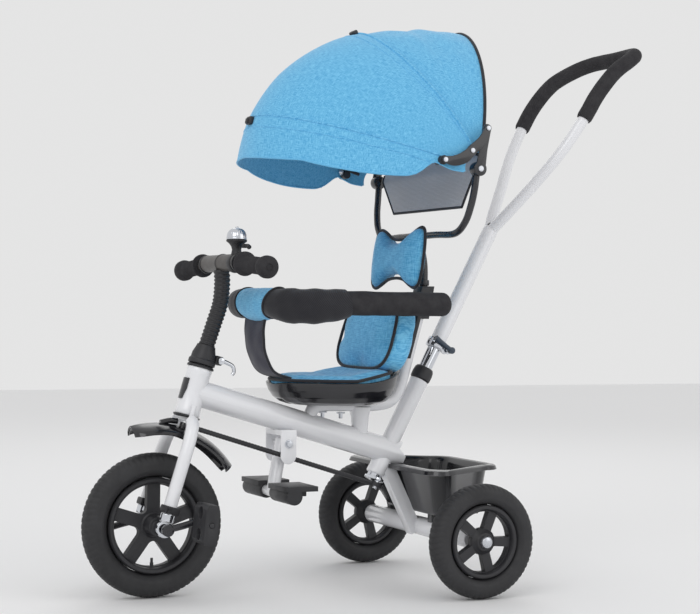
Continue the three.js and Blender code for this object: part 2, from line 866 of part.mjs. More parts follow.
function headPillow() {
  const shape = new THREE.Shape();
  shape.moveTo(-92, -48);
  shape.quadraticCurveTo(-70, -60, -45, -42);
  shape.quadraticCurveTo(0, -22, 45, -42);
  shape.quadraticCurveTo(70, -60, 92, -48);
  shape.quadraticCurveTo(106, 0, 92, 52);
  shape.quadraticCurveTo(70, 66, 45, 46);
  shape.quadraticCurveTo(0, 20, -45, 46);
  shape.quadraticCurveTo(-70, 66, -92, 52);
  shape.quadraticCurveTo(-106, 0, -92, -48);
  const options = {
    depth: 16,
    bevelThickness: 11,
    bevelSize: 9,
    bevelOffset: -9,
    bevelSegments: 2,
    curveSegments: 5,
  };
  const pillow = new THREE.ExtrudeGeometry(shape, options).rotateX(Math.PI / 2).translate(0, 8, 0);
  return part("head_pillow", solid(pillow.rotateX(-7 * deg).translate(0, 481, 606)), blueFabric);
}

const guardLine = smoothPath(
  mirrored([
    [guardHalfWidth, guardRearY, guardHeight],
    [guardHalfWidth, mix(guardFrontY + guardCorner, guardRearY, 0.5), guardHeight],
    [guardHalfWidth, guardFrontY + guardCorner, guardHeight],
    [guardHalfWidth - 0.134 * guardCorner, guardFrontY + guardCorner / 2, guardHeight],
    [guardHalfWidth - guardCorner / 2, guardFrontY + 0.134 * guardCorner, guardHeight],
    [guardHalfWidth - guardCorner, guardFrontY, guardHeight],
    [0, guardFrontY - 2, guardHeight],
  ]),
);

function guardFoam() {
  const bar = swept(guardLine, guardFoamRadius, 18, 12);
  const ends = [1, -1].map((side) => {
    const ball = new THREE.SphereGeometry(guardFoamRadius - 0.4, 12, 6);
    return solid(ball.translate(side * guardHalfWidth, guardRearY, guardHeight));
  });
  const socket = [1, -1].map((side) =>
    rod(
      [side * 80, guardRearY + 2, guardHeight],
      [side * (guardHalfWidth - 4), guardRearY + 2, guardHeight],
      7.5,
      12,
    ));
  return part("guard_foam", cut(join(bar, ...ends), ...socket), foamBlack);
}

function guardCover() {
  const window = block(2 * coverHalfWidth, 120, 80, [0, guardFrontY, guardHeight]);
  const outer = swept(guardLine, guardFoamRadius + 3.2, 18, 12).intersect(window);
  return part("guard_cover", cut(outer, swept(guardLine, guardFoamRadius + 0.6, 18, 12)), blueFabric);
}

function crotchStrap() {
  const line = [
    [guardFrontY, guardHeight - guardFoamRadius - 4.5],
    [guardFrontY - 2, 462],
    [guardFrontY + 2, 425],
    [guardFrontY + 16, 396],
    [guardFrontY + 50, 384],
  ];
  const path = new THREE.CatmullRomCurve3(line.map(([y, z]) => new THREE.Vector3(0, y, z)));
  const made = sheet(10, 2, (u, v, inner) => {
    const at = path.getPoint(u);
    const along = path.getTangent(u);
    const half = inner ? 4 : -4;
    const width = mix(34, 27, u);
    return [mix(-width, width, v), at.y + half * -along.z, at.z + half * along.y];
  });
  const cover = swept(guardLine, guardFoamRadius + 3.5, 18, 12);
  const rimGuard = lofted([seatRing(1.01, 300), seatRing(1.01, seatRim + gap)]);
  return part("crotch_strap", cut(made, cover, rimGuard), strapFabric);
}

function canopySocket() {
  const outline = [
    [508, 494],
    [541, 494],
    [552, 556],
    [524, 556],
    [519, 534],
    [480, 532],
    [480, 512],
    [509, 510],
  ];
  const holder = sidePlate(outline, 34, 0, 3);
  const bar = rod(
    [-guardHalfWidth + 5, guardRearY + 2, guardHeight],
    [guardHalfWidth - 5, guardRearY + 2, guardHeight],
    7,
    16,
  );
  const post = rod([0, 536, 530], [0, 536, 600], 9, 16);
  return part(
    "canopy_socket",
    cut(join(holder, bar), swept(seatLine, seatTubeRadius + gap, 18, 12), post),
    blackPlastic,
  );
}

function canopyFrame() {
  const half = mirrored([
    [canopyHalfWidth - 4, canopyPivotY, canopyPivotZ],
    [canopyHalfWidth - 6, canopyPivotY - 3, 730],
    [186, canopyPivotY - 7, 700],
    [172, canopyPivotY - 11, 670],
    [141, canopyBarY, canopyBarZ],
    [70, canopyBarY, canopyBarZ],
    [0, canopyBarY, canopyBarZ],
  ]);
  const hoop = swept(smoothPath(half), canopyTubeRadius, 26, 8);
  const post = swept(
    smoothPath([[0, 536, 532], [0, 536, 590], [0, 530, 625], [0, canopyBarY, canopyBarZ]]),
    8,
    5,
    12,
  );
  const sides = [1, -1].flatMap((side) => {
    const boss = rod(
      [side * (canopyHalfWidth - 9), canopyPivotY, canopyPivotZ],
      [side * 207, canopyPivotY, canopyPivotZ],
      13,
      16,
    );
    const plate = sideSolid(linkShape([canopyPivotY, canopyPivotZ], stretcherRear, 8), 3, side * 205.5);
    return [boss, plate];
  });
  return part("canopy_frame", join(hoop, post, ...sides), blackPaint);
}

// ---- Basket ----

// Rounded outline of the basket seen from above, wider at the front.
function basketRing(frontY, rearY, frontHalf, rearHalf, corner, height) {
  const corners = [
    [frontHalf - corner, frontY + corner, 1.5 * Math.PI, 2 * Math.PI],
    [rearHalf - corner, rearY - corner, 0, 0.5 * Math.PI],
    [-rearHalf + corner, rearY - corner, 0.5 * Math.PI, Math.PI],
    [-frontHalf + corner, frontY + corner, Math.PI, 1.5 * Math.PI],
  ];
  const steps = 5;
  return corners.flatMap(([x, y, from, to]) =>
    Array.from({ length: steps + 1 }, (_, i) => {
      const angle = mix(from, to, i / steps);
      return [x + corner * Math.cos(angle), y + corner * Math.sin(angle), height];
    }),
  );
}

function basket() {
  const strutBack = strutWidth / 2 / Math.cos(strutLean) + basketLip * Math.tan(strutLean);
  const front = strutTop[0] + strutBack + 2.6;
  const rear = wheelbase + 103;
  const bottomFront = wheelbase - 18;
  const bottomRear = wheelbase + 83;
  const shell = lofted([
    basketRing(bottomFront, bottomRear, 108, 84, 22, basketBottom),
    basketRing(front, rear, 162, 96, 28, basketTop - basketLip),
    basketRing(front - rimLip, rear + rimLip * 0.7, 162 + rimLip, 96 + rimLip * 0.7, 34, basketTop - 6),
    basketRing(front - rimLip, rear + rimLip * 0.7, 162 + rimLip, 96 + rimLip * 0.7, 34, basketTop),
    basketRing(front + basketWall, rear - basketWall, 162 - basketWall, 96 - basketWall, 26, basketTop),
    basketRing(
      bottomFront + basketWall,
      bottomRear - basketWall,
      108 - basketWall,
      84 - basketWall,
      20,
      basketBottom + basketWall,
    ),
  ]);
  const slot = block(2 * (sleeveRadius + 3), 60, 60, [0, front - 31, basketTop - 20]);
  const feet = [1, -1].map((side) => {
    const foot = block(18, 22, 30, [side * 60, wheelbase, basketBottom - 10]);
    return cut(
      foot,
      rod([-100, wheelbase, rearWheelRadius], [100, wheelbase, rearWheelRadius], axleTubeRadius + gap, 24),
    );
  });
  return part("basket", join(cut(shell, slot), ...feet), blackGloss);
}

// ---- Footrest ----

function footBracket() {
  const cheek = new THREE.Shape();
  cheek.moveTo(footPivotY - 15, 290);
  cheek.lineTo(footPivotY - 15, footPivotZ - 14);
  cheek.absarc(footPivotY, footPivotZ - 22, 15, Math.PI, 2 * Math.PI, false);
  cheek.lineTo(footPivotY + 15, 290);
  cheek.closePath();
  const cheeks = [1, -1].map((side) => sideSolid(cheek, 3, side * footCheekX));
  const saddle = block(2 * footCheekX + 3, 30, 10, [0, footPivotY, 286]);
  const bolt = rod(
    [-footCheekX - 4, footPivotY, footPivotZ],
    [footCheekX + 4, footPivotY, footPivotZ],
    3.5,
    12,
  );
  return part("footrest_bracket", cut(join(...cheeks, saddle, bolt), spineSolid(gap)), whitePaint);
}

function footBar() {
  const top = [0, footPivotY + 2, footPivotZ + 8];
  const post = rod(top, [0, footBarY + 2, footBarZ], 12, 16);
  const bar = rod(
    [-footBarHalfLength, footBarY, footBarZ],
    [footBarHalfLength, footBarY, footBarZ],
    footBarRadius,
    16,
  );
  const bore = rod([-60, footPivotY, footPivotZ], [60, footPivotY, footPivotZ], 3.5 + running, 12);
  return part("footrest_bar", cut(join(post, bar), bore), whitePaint);
}

function footPedal(name, side) {
  const inner = 22;
  const outer = footBarHalfLength + 8;
  const middle = (inner + outer) / 2;
  const plate = block(outer - inner, 62, 9, [side * middle, footBarY + 14, footBarZ + 13]);
  const clip = rod(
    [side * inner, footBarY, footBarZ],
    [side * outer, footBarY, footBarZ],
    footBarRadius + 5,
    20,
  );
  const lug = block(outer - inner - 30, 26, 12, [side * middle, footBarY + 16, footBarZ + 5]);
  const bore = rod([side * (inner - 5), footBarY, footBarZ], [side * (footBarHalfLength + 0.5), footBarY, footBarZ],
    footBarRadius + running, 16);
  return part(name, cut(join(plate, clip, lug), bore), blackPlastic);
}

// ---- Push bar ----

function pushCollar() {
  const inner = shaftRadius + running;
  const profile = [
    [inner, sleeveTop + gap],
    [sleeveRadius, sleeveTop + gap],
    [sleeveRadius + 1.5, sleeveTop + collarHeight - 6],
    [sleeveRadius - 1, sleeveTop + collarHeight],
    [inner, sleeveTop + collarHeight],
  ];
  return part("push_collar", inFrame(turned(profile, 24, true), pushFrame), blackPlastic);
}

function pushShaft() {
  const shaft = rod([0, 0, shaftBottom], [0, 0, shaftTop], shaftRadius, 24);
  const crank = block(linkOffset + 8, 22, 5, [(linkOffset + 8) / 2, linkBack, shaftBottom + 2.5]);
  const boss = rod([0, 0, shaftBottom], [0, 0, shaftBottom + 5], 16, 20);
  const pin = rod(
    [linkOffset, linkBack, shaftBottom - linkEyeDrop - 12],
    [linkOffset, linkBack, shaftBottom + 2],
    linkPinRadius,
    16,
  );
  return part("push_shaft", join(shaft, crank, boss, pin), chrome);
}

const handleLine = smoothPath(
  mirrored([
    [3, 0, 484],
    [26, 4, 522],
    [60, 12, 590],
    [95, 18, 666],
    [111, 22, foamStart],
    [113, 26, 796],
    [111, 40, 854],
    [102, 62, 895],
    [82, 80, 922],
    [48, 89, 932],
    [0, 91, 933],
  ]),
);

const handleSteps = 28;

function pushTube() {
  const bore = shaftRadius + 0.6;
  const tube = turned(
    [
      [0, pushTubeTop],
      [pushTubeRadius, pushTubeTop],
      [pushTubeRadius, pushTubeBottom],
      [bore, pushTubeBottom],
      [bore, pushTubeTop - 40],
      [0, pushTubeTop - 40],
    ],
    24,
  );
  const loop = swept(handleLine, handleTubeRadius, handleSteps, 8);
  return part("push_tube", join(tube, loop), whitePaint);
}

function handleFoam() {
  const grip = swept(handleLine, handleFoamRadius, handleSteps, 8);
  const above = block(400, 400, 400, [0, 0, foamStart + 200]);
  return part(
    "handle_foam",
    cut(grip.intersect(above), swept(handleLine, handleTubeRadius + gap, handleSteps, 8)),
    foamBlack,
  );
}

function clampBand() {
  const base = pushTubeBottom + 1;
  const inner = pushTubeRadius + gap;
  const ring = turned(
    [[inner, base], [inner + 3, base], [inner + 3, base + 16], [inner, base + 16]],
    18,
    true,
  );
  const ears = block(20, 14, 16, [0, inner + 8, base + 8]);
  const bolt = rod([-16, inner + 9, base + 8], [14, inner + 9, base + 8], 4, 12);
  const bore = rod([0, 0, base - 5], [0, 0, base + 30], inner, 18);
  return part("clamp_band", cut(join(ring, ears, bolt), bore), chrome);
}

function clampLever() {
  const z = pushTubeBottom + 9;
  const y = pushTubeRadius + gap + 9;
  const x = pushTubeRadius + 7;
  const hub = rod([x - 2, y, z - 6], [x - 2, y, z + 6], 5.5, 12);
  const arm = block(7, clampLeverLength, 11, [x, y - 1 - clampLeverLength / 2, z + 2]);
  return part("clamp_lever", join(hub, arm), leverBlue);
}

function pushBar() {
  const bar = new THREE.Group();
  bar.add(pushShaft(), pushTube(), handleFoam(), clampBand(), clampLever());
  bar.applyMatrix4(pushFrame);
  return bar;
}

// ---- Steering link ----

function linkRod() {
  const topFront = crownHeight - gap;
  const topRear = shaftBottom - linkEyeDrop;
  const eyeHeight = 8;
  const frontPin = (low, high, radius, sides) =>
    inFrame(rod([linkOffset, linkBack, low], [linkOffset, linkBack, high], radius, sides), steerFrame);
  const rearPin = (low, high, radius, sides) =>
    inFrame(rod([linkOffset, linkBack, low], [linkOffset, linkBack, high], radius, sides), pushFrame);
  const front = toWorld([linkOffset, linkBack, topFront - linkRodRadius - gap], steerFrame);
  const rear = toWorld([linkOffset, linkBack, topRear - eyeHeight / 2], pushFrame);
  const bar = rod(front, rear, linkRodRadius, 12);
  const frontEye = frontPin(topFront - 2 * linkRodRadius, topFront, 7.5, 16);
  const pin = frontPin(topFront - linkRodRadius, crownHeight + crownThickness - 1, linkPinRadius, 16);
  const rearEye = rearPin(topRear - eyeHeight, topRear, linkPinRadius + openPivotClearance + 5, 20);
  const hole = rearPin(topRear - 20, topRear + 10, linkPinRadius + openPivotClearance, 20);
  return part("link_rod", cut(join(bar, frontEye, pin, rearEye), hole), blackPlastic);
}

// ---- Canopy ----

// A point of a bow: angle in degrees from straight forwards, sweep from one side to the other.
function bowPoint(angle, sweep, reach, halfWidth, fullness, leastReach) {
  const limit = Math.acos((leastReach / reach) ** (fullness / 2));
  const turn = sweep * limit;
  const x = halfWidth * Math.sign(turn) * Math.sin(Math.abs(turn)) ** (2 / fullness);
  const out = reach * Math.cos(turn) ** (2 / fullness);
  return [x, canopyPivotY - out * Math.cos(angle * deg), canopyPivotZ + out * Math.sin(angle * deg)];
}

function stepped(value, stops) {
  const next = stops.findIndex(([at]) => value <= at);
  if (next <= 0) return stops.at(next === 0 ? 0 : -1)[1];
  const [a, from] = stops[next - 1];
  const [b, to] = stops[next];
  return mix(from, to, (value - a) / (b - a));
}

const frontLow = -4;
const frontBowAngle = 14;
const frontReach = [[frontLow, 374], [frontBowAngle, 367], [30, 346], [45, 321], [midBowAngle, 297]];
const frontFullness = [[frontLow, 2.4], [frontBowAngle, 2], [midBowAngle, 1.75]];
const frontLeast = [[frontLow, 100], [13, 100], [24, 30], [midBowAngle, 30]];
const rearReach = [[midBowAngle, 294], [80, 274], [rearBowAngle, 282]];
const rearFullness = [[midBowAngle, 1.7], [rearBowAngle, 1.8]];

function frontHood() {
  const made = sheet(9, 18, (u, v, inner) => {
    const angle = mix(frontLow, midBowAngle, u);
    const skin = inner ? canopySkin : 0;
    const reach = stepped(angle, frontReach) - skin;
    const half = canopyHalfWidth + 6 - skin;
    return bowPoint(
      angle,
      mix(-1, 1, v),
      reach,
      half,
      stepped(angle, frontFullness),
      stepped(angle, frontLeast),
    );
  });
  return part("canopy_front", made, blueFabric);
}

function rearHood() {
  const made = sheet(5, 18, (u, v, inner) => {
    const angle = mix(midBowAngle + 0.3, rearBowAngle, u);
    const skin = inner ? canopySkin : 0;
    const reach = stepped(angle, rearReach) - skin;
    return bowPoint(angle, mix(-1, 1, v), reach, canopyHalfWidth - skin, stepped(angle, rearFullness), 30);
  });
  return part("canopy_rear", made, blueFabric);
}

const stretcherRear = [550, 838];
const stretcherMiddle = [516, 796];
const stretcherFront = [461, 777];

function bow(angle, reach, halfWidth, fullness, leastReach) {
  const count = 16;
  const points = Array.from({ length: count + 1 }, (_, i) =>
    bowPoint(angle, mix(-1, 1, i / count), reach, halfWidth, fullness, leastReach));
  return swept(smoothPath(points), bowRadius, 20, 6);
}

function frontBow() {
  const arch = bow(frontBowAngle + 2, 355, canopyHalfWidth - 5, 2, frontBowEnd);
  const bosses = [1, -1].map((side) => {
    const [y, z] = stretcherFront;
    return rod([side * 184, y, z], [side * (stretcherX + 2 * stretcherThickness - 2.6), y, z], 8, 12);
  });
  return part("canopy_front_bow", join(arch, ...bosses), blackPlastic);
}

function rearBow() {
  return part(
    "canopy_rear_bow",
    bow(rearBowAngle - 3, 274, canopyHalfWidth - 9, 1.8, rearBowEnd),
    blackPlastic,
  );
}

function stretcherLink(name, from, to, layer, side, hole) {
  const x = side * (stretcherX + stretcherThickness / 2 + layer * (stretcherThickness + 0.4));
  const bar = sideSolid(linkShape(from, to, 6.5), stretcherThickness, x);
  const pinRadius = 2.5;
  const [y, z] = stretcherMiddle;
  const inside = side * stretcherX;
  if (hole) {
    const opening = rod([side * 190, y, z], [side * 230, y, z], pinRadius + stretcherPlay, 16);
    const ring = rod(
      [inside, y, z],
      [side * (stretcherX + stretcherThickness), y, z],
      pinRadius + stretcherPlay + 3.5,
      16,
    );
    return part(name, cut(join(bar, ring), opening), blackPlastic);
  }
  return part(name, join(bar, rod([inside, y, z], [x, y, z], pinRadius, 12)), blackPlastic);
}

function meshPanel() {
  const low = 702;
  const high = 1026;
  const lean = Math.tan((rearBowAngle + 1.5 - 90) * deg);
  const made = sheet(7, 8, (u, v, inner) => {
    const z = mix(low, high, u);
    const over = Math.max(0, z - canopyPivotZ);
    const bowHalf = (canopyHalfWidth - 16) * Math.max(0.02, 1 - (over / 268) ** 1.8) ** (1 / 1.8);
    const half = z < canopyPivotZ ? mix(
      132,
      canopyHalfWidth - 16,
      (z - low) / (canopyPivotZ - low),
    ) : bowHalf;
    const y = canopyPivotY + 4 + over * lean + (inner ? 2 : 0);
    return [mix(-half, half, v), y, z];
  });
  return part("mesh_panel", made, meshFabric);
}

function canopy() {
  const hood = new THREE.Group();
  hood.add(frontHood(), rearHood(), frontBow(), rearBow(), meshPanel());
  for (const [sideName, side] of [["left", 1], ["right", -1]]) {
    hood.add(stretcherLink("stretcher_rear_" + sideName, stretcherRear, stretcherMiddle, 0, side, true));
    hood.add(stretcherLink("stretcher_front_" + sideName, stretcherFront, stretcherMiddle, 1, side, false));
  }
  return hood;
}

// ---- Assembly ----

function frame() {
  const base = new THREE.Group();
  base.add(
    part("head_tube", headTubeSolid(), whitePaint),
    headset("headset_lower", crownHeight + crownThickness + 0.6, headTubeBase - gap),
    headset("headset_upper", headTubeBase + headTubeLength + gap, headTubeBase + headTubeLength + 5.5),
    mainTube(),
    part("push_sleeve", sleeveSolid(), whitePaint),
    pushCollar(),
    rearStrut(),
    rearAxleTube(),
    seatTube(),
    backBoard(),
    seatShell(),
    seatPad(),
    backPad(),
    headPillow(),
    guardFoam(),
    guardCover(),
    crotchStrap(),
    canopySocket(),
    canopyFrame(),
    basket(),
    footBracket(),
    footBar(),
    footPedal("foot_pedal_left", 1),
    footPedal("foot_pedal_right", -1),
  );
  return base;
}

const tricycle = new THREE.Group();
tricycle.add(
  frame(),
  steering(),
  frontWheel(),
  rearWheel("left", 1),
  rearWheel("right", -1),
  pushBar(),
  linkRod(),
  canopy(),
);
tricycle.position.y = -middleY;

export default tricycle;
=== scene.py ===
import json
import math
import bpy
from mathutils import Matrix, Vector, noise


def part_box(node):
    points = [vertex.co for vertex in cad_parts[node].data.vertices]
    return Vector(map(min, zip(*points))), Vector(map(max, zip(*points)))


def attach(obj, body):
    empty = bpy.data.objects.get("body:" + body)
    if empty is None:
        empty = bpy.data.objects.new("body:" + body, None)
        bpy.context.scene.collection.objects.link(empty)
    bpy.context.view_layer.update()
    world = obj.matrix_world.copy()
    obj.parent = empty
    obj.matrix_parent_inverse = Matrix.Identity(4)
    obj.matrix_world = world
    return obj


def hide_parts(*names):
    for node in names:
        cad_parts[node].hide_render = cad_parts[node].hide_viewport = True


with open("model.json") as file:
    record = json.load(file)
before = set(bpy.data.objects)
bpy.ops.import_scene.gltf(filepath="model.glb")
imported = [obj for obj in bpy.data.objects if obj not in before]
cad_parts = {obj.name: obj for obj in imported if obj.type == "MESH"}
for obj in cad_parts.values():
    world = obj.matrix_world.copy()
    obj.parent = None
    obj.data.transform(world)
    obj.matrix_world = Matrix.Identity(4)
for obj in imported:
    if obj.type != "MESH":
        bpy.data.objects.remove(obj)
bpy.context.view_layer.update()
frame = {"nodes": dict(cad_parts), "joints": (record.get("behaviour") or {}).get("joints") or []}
print("frame loaded")

# Lengths below are in millimetres from the ground under the front hub, and mm turns them to metres.
mm = 0.001
hub = sum(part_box("front_rim"), Vector()) / 2
jointOf = {joint["name"]: joint for joint in frame["joints"]}
bikeFrame = Matrix.Translation((0, hub.y, 0))


# A frame whose Z runs along a joint's axis, with X across the tricycle.
def axisFrame(jointName):
    z = Vector(jointOf[jointName]["axis"]).normalized()
    x = Vector((1, 0, 0))
    made = Matrix((x, z.cross(x), z)).transposed().to_4x4()
    made.translation = Vector(jointOf[jointName]["pos_m"])
    return made


# A frame whose Z runs along X, for what turns on a cross axle.
def axleFrame(centre, turn=0):
    spun = Matrix.Rotation(math.radians(turn), 4, "X")
    return Matrix.Translation(centre) @ spun @ Matrix.Rotation(math.pi / 2, 4, "Y")


def tilted(centre, degrees):
    move = bikeFrame @ Matrix.Translation(Vector(centre) * mm)
    return move @ Matrix.Rotation(math.radians(degrees), 4, "X")


headFrame = axisFrame("fork_steer")
pushFrame = axisFrame("push_bar_turn")
backFrame = tilted((0, 497, 400), -15.6)


def mix(a, b, t):
    return a + (b - a) * t


# A value read off a few (place, value) stops.
def stepped(value, stops):
    for (a, low), (b, high) in zip(stops, stops[1:]):
        if value <= b:
            return mix(low, high, max(0, value - a) / (b - a))
    return stops[-1][1]


def pick(piece):
    if bpy.context.object and bpy.context.object.mode != "OBJECT":
        bpy.ops.object.mode_set(mode="OBJECT")
    bpy.ops.object.select_all(action="DESELECT")
    piece.select_set(True)
    bpy.context.view_layer.objects.active = piece


def clear():
    bpy.ops.object.select_all(action="DESELECT")


def started(name):
    piece = bpy.context.active_object
    piece.name = name
    piece.data.name = name
    return piece


def applyAll(piece):
    pick(piece)
    for modifier in list(piece.modifiers):
        bpy.ops.object.modifier_apply(modifier=modifier.name)


# Puts a mesh made about its own origin where it belongs, and leaves the object at the origin.
def settle(piece, place):
    pick(piece)
    piece.matrix_world = place
    bpy.ops.object.transform_apply(location=True, rotation=True, scale=True)
    return piece


def rounded(piece, width, segments=3, angle=35):
    if width > 0:
        bevel = piece.modifiers.new("Bevel", "BEVEL")
        bevel.width = width * mm
        bevel.segments = segments
        bevel.limit_method = "ANGLE"
        bevel.angle_limit = math.radians(angle)
        bevel.harden_normals = False
        applyAll(piece)
    return piece


# Starts a line of edges in edit mode at its first point, by extruding one vertex again and again.
def drawLine(name, points):
    clear()
    bpy.ops.mesh.primitive_plane_add(size=mm)
    piece = started(name)
    bpy.ops.object.mode_set(mode="EDIT")
    bpy.ops.mesh.merge(type="CENTER")
    bpy.ops.transform.translate(value=points[0])
    for a, b in zip(points, points[1:]):
        bpy.ops.mesh.extrude_region_move(TRANSFORM_OT_translate={"value": b - a})
    return piece


# A turned piece about its frame's Z from (radius, height) pairs.
def turned(name, profile, place=bikeFrame, sides=48, bevel=0):
    piece = drawLine(name, [Vector((r, 0, z)) * mm for r, z in profile])
    bpy.ops.mesh.select_all(action="SELECT")
    bpy.ops.mesh.spin(steps=sides, angle=2 * math.pi, center=(0, 0, 0), axis=(0, 0, 1))
    bpy.ops.mesh.select_all(action="SELECT")
    bpy.ops.mesh.remove_doubles(threshold=1e-5)
    bpy.ops.mesh.normals_make_consistent(inside=False)
    bpy.ops.object.mode_set(mode="OBJECT")
    return rounded(settle(piece, place), bevel)


# A flat outline in its frame's X-Y plane, thickened both ways about it.
def plate(name, outline, thickness, place=bikeFrame, bevel=0.6):
    low = -thickness / 2
    points = [Vector((x, y, low)) * mm for x, y in outline + outline[:1]]
    piece = drawLine(name, points)
    bpy.ops.mesh.select_all(action="SELECT")
    bpy.ops.mesh.remove_doubles(threshold=1e-6)
    bpy.ops.mesh.edge_face_add()
    bpy.ops.mesh.extrude_region_move(TRANSFORM_OT_translate={"value": (0, 0, thickness * mm)})
    bpy.ops.mesh.select_all(action="SELECT")
    bpy.ops.mesh.normals_make_consistent(inside=False)
    bpy.ops.object.mode_set(mode="OBJECT")
    return rounded(settle(piece, place), bevel)


# A frame whose X is the model's Y and whose Y is the model's Z, so a plate in it
# stands upright along the length.
def sideFrame(x=0):
    stand = Matrix(((0, 0, 1, 0), (1, 0, 0, 0), (0, 1, 0, 0), (0, 0, 0, 1)))
    return bikeFrame @ Matrix.Translation((x * mm, 0, 0)) @ stand


def block(name, size, centre, place=bikeFrame, bevel=1.0):
    clear()
    bpy.ops.mesh.primitive_cube_add(size=1)
    piece = started(name)
    scale = Matrix.Diagonal([side * mm for side in size]).to_4x4()
    settle(piece, place @ Matrix.Translation(Vector(centre) * mm) @ scale)
    return rounded(piece, bevel)


def bar(name, start, end, radius, place=bikeFrame, sides=40, bevel=0.8):
    a = place @ (Vector(start) * mm)
    b = place @ (Vector(end) * mm)
    clear()
    bpy.ops.mesh.primitive_cylinder_add(vertices=sides, radius=radius * mm, depth=(b - a).length)
    turn = (b - a).to_track_quat("Z", "Y").to_matrix().to_4x4()
    piece = settle(started(name), Matrix.Translation((a + b) / 2) @ turn)
    return rounded(piece, bevel)


# Evenly spaced points on a smooth line through the given points.
def smoothLine(points, count):
    given = [Vector(p) for p in points]
    ends = [given[0] * 2 - given[1]] + given + [given[-1] * 2 - given[-2]]
    fine = []
    for a, b, c, d in zip(ends, ends[1:], ends[2:], ends[3:]):
        for i in range(24):
            t = i / 24
            bend = (2 * a - 5 * b + 4 * c - d) * t * t + (3 * b - a - 3 * c + d) * t ** 3
            fine.append(0.5 * (2 * b + (c - a) * t + bend))
    fine.append(given[-1])
    reach = [0]
    for a, b in zip(fine, fine[1:]):
        reach.append(reach[-1] + (b - a).length)
    line = []
    step = 0
    for i in range(count + 1):
        want = reach[-1] * i / count
        while step < len(fine) - 2 and reach[step + 1] < want:
            step += 1
        share = (want - reach[step]) / max(reach[step + 1] - reach[step], 1e-9)
        line.append(fine[step].lerp(fine[step + 1], min(1, share)))
    return line


def mirrorLine(points):
    return points + [(-x, y, z) for x, y, z in reversed(points[:-1])]


# A surface over a grid: shape(u, v) gives each point, and wrap joins the first column to the last.
def surface(name, columns, rows, shape, place=bikeFrame, wrap=False, wall=0, uvSize=None):
    clear()
    bpy.ops.mesh.primitive_grid_add(x_subdivisions=columns, y_subdivisions=rows, size=2)
    piece = started(name)
    mesh = piece.data
    spots = [((v.co.x + 1) / 2, (v.co.y + 1) / 2) for v in mesh.vertices]
    if uvSize:
        for loop in mesh.loops:
            u, v = spots[loop.vertex_index]
            mesh.uv_layers[0].data[loop.index].uv = (u * uvSize[0] * mm, v * uvSize[1] * mm)
    for vertex, (u, v) in zip(mesh.vertices, spots):
        turn = (round(u * columns) % columns) / columns if wrap else u
        vertex.co = place @ (Vector(shape(turn, v)) * mm)
    pick(piece)
    bpy.ops.object.mode_set(mode="EDIT")
    bpy.ops.mesh.select_all(action="SELECT")
    bpy.ops.mesh.remove_doubles(threshold=1e-5)
    bpy.ops.mesh.normals_make_consistent(inside=False)
    bpy.ops.object.mode_set(mode="OBJECT")
    if wall:
        solidify = piece.modifiers.new("Wall", "SOLIDIFY")
        solidify.thickness = wall * mm
        solidify.offset = 0
        applyAll(piece)
    return piece


# A tube along a line. girth(t, angle) scales its radius, and both ends close to a point.
def pipe(name, points, radius, place=bikeFrame, steps=48, sides=28, girth=None, ends=True, soft=0.0):
    line = smoothLine(points, steps)
    side = []
    for i, spot in enumerate(line):
        ahead = (line[min(i + 1, steps)] - line[max(i - 1, 0)]).normalized()
        before = side[-1][0] if side else ahead.orthogonal()
        across = (before - ahead * before.dot(ahead)).normalized()
        side.append((across, ahead.cross(across), ahead))

    def shape(u, v):
        row = v * (steps + 2) - 1
        i = max(0, min(steps, round(row)))
        across, up, _ = side[i]
        angle = 2 * math.pi * u
        size = radius * (girth(i / steps, angle, line[i]) if girth else 1)
        if ends and (row < -0.5 or row > steps + 0.5):
            size = 0
        return line[i] + (across * math.cos(angle) + up * math.sin(angle)) * size

    piece = surface(
        name, sides, steps + 2 if ends else steps, shape if ends else lambda u,
        v: shape(u, mix(1, steps + 1, v) / (steps + 2)), place, True
    )
    return rounded(piece, soft, 2, 50)


# A rounded outline that follows a line of (x, y) points with a half width at each.
def aroundLine(points, widths, corner=8):
    line = smoothLine([(x, y, 0) for x, y in points], 6 * (len(points) - 1))
    count = len(line) - 1
    left, right = [], []
    for i, spot in enumerate(line):
        ahead = (line[min(i + 1, count)] - line[max(i - 1, 0)]).normalized()
        half = stepped(i / count, [(k / (len(widths) - 1), w) for k, w in enumerate(widths)])
        off = Vector((-ahead.y, ahead.x, 0)) * half
        left.append(spot + off)
        right.append(spot - off)

    def cap(centre, start, towards):
        first = start - centre
        turn = [math.pi * k / corner * towards for k in range(1, corner)]
        return [centre + Matrix.Rotation(a, 3, "Z") @ first for a in turn]

    outline = left + cap(line[-1], left[-1], -1) + right[::-1] + cap(line[0], right[0], -1)
    return [(p.x, p.y) for p in outline]


def circle(radius, centre=(0, 0), count=40, start=0, end=360):
    angles = [math.radians(mix(start, end, i / count)) for i in range(count + (end - start != 360))]
    return [(centre[0] + radius * math.cos(a), centre[1] + radius * math.sin(a)) for a in angles]


def drill(piece, *tools):
    for tool in tools:
        cutter = piece.modifiers.new("Cut", "BOOLEAN")
        cutter.operation = "DIFFERENCE"
        cutter.solver = "EXACT"
        cutter.object = tool
        applyAll(piece)
        bpy.data.objects.remove(tool)
    return piece


def joined(name, *pieces):
    pick(pieces[0])
    for other in pieces[1:]:
        other.select_set(True)
    bpy.ops.object.join()
    return started(name)


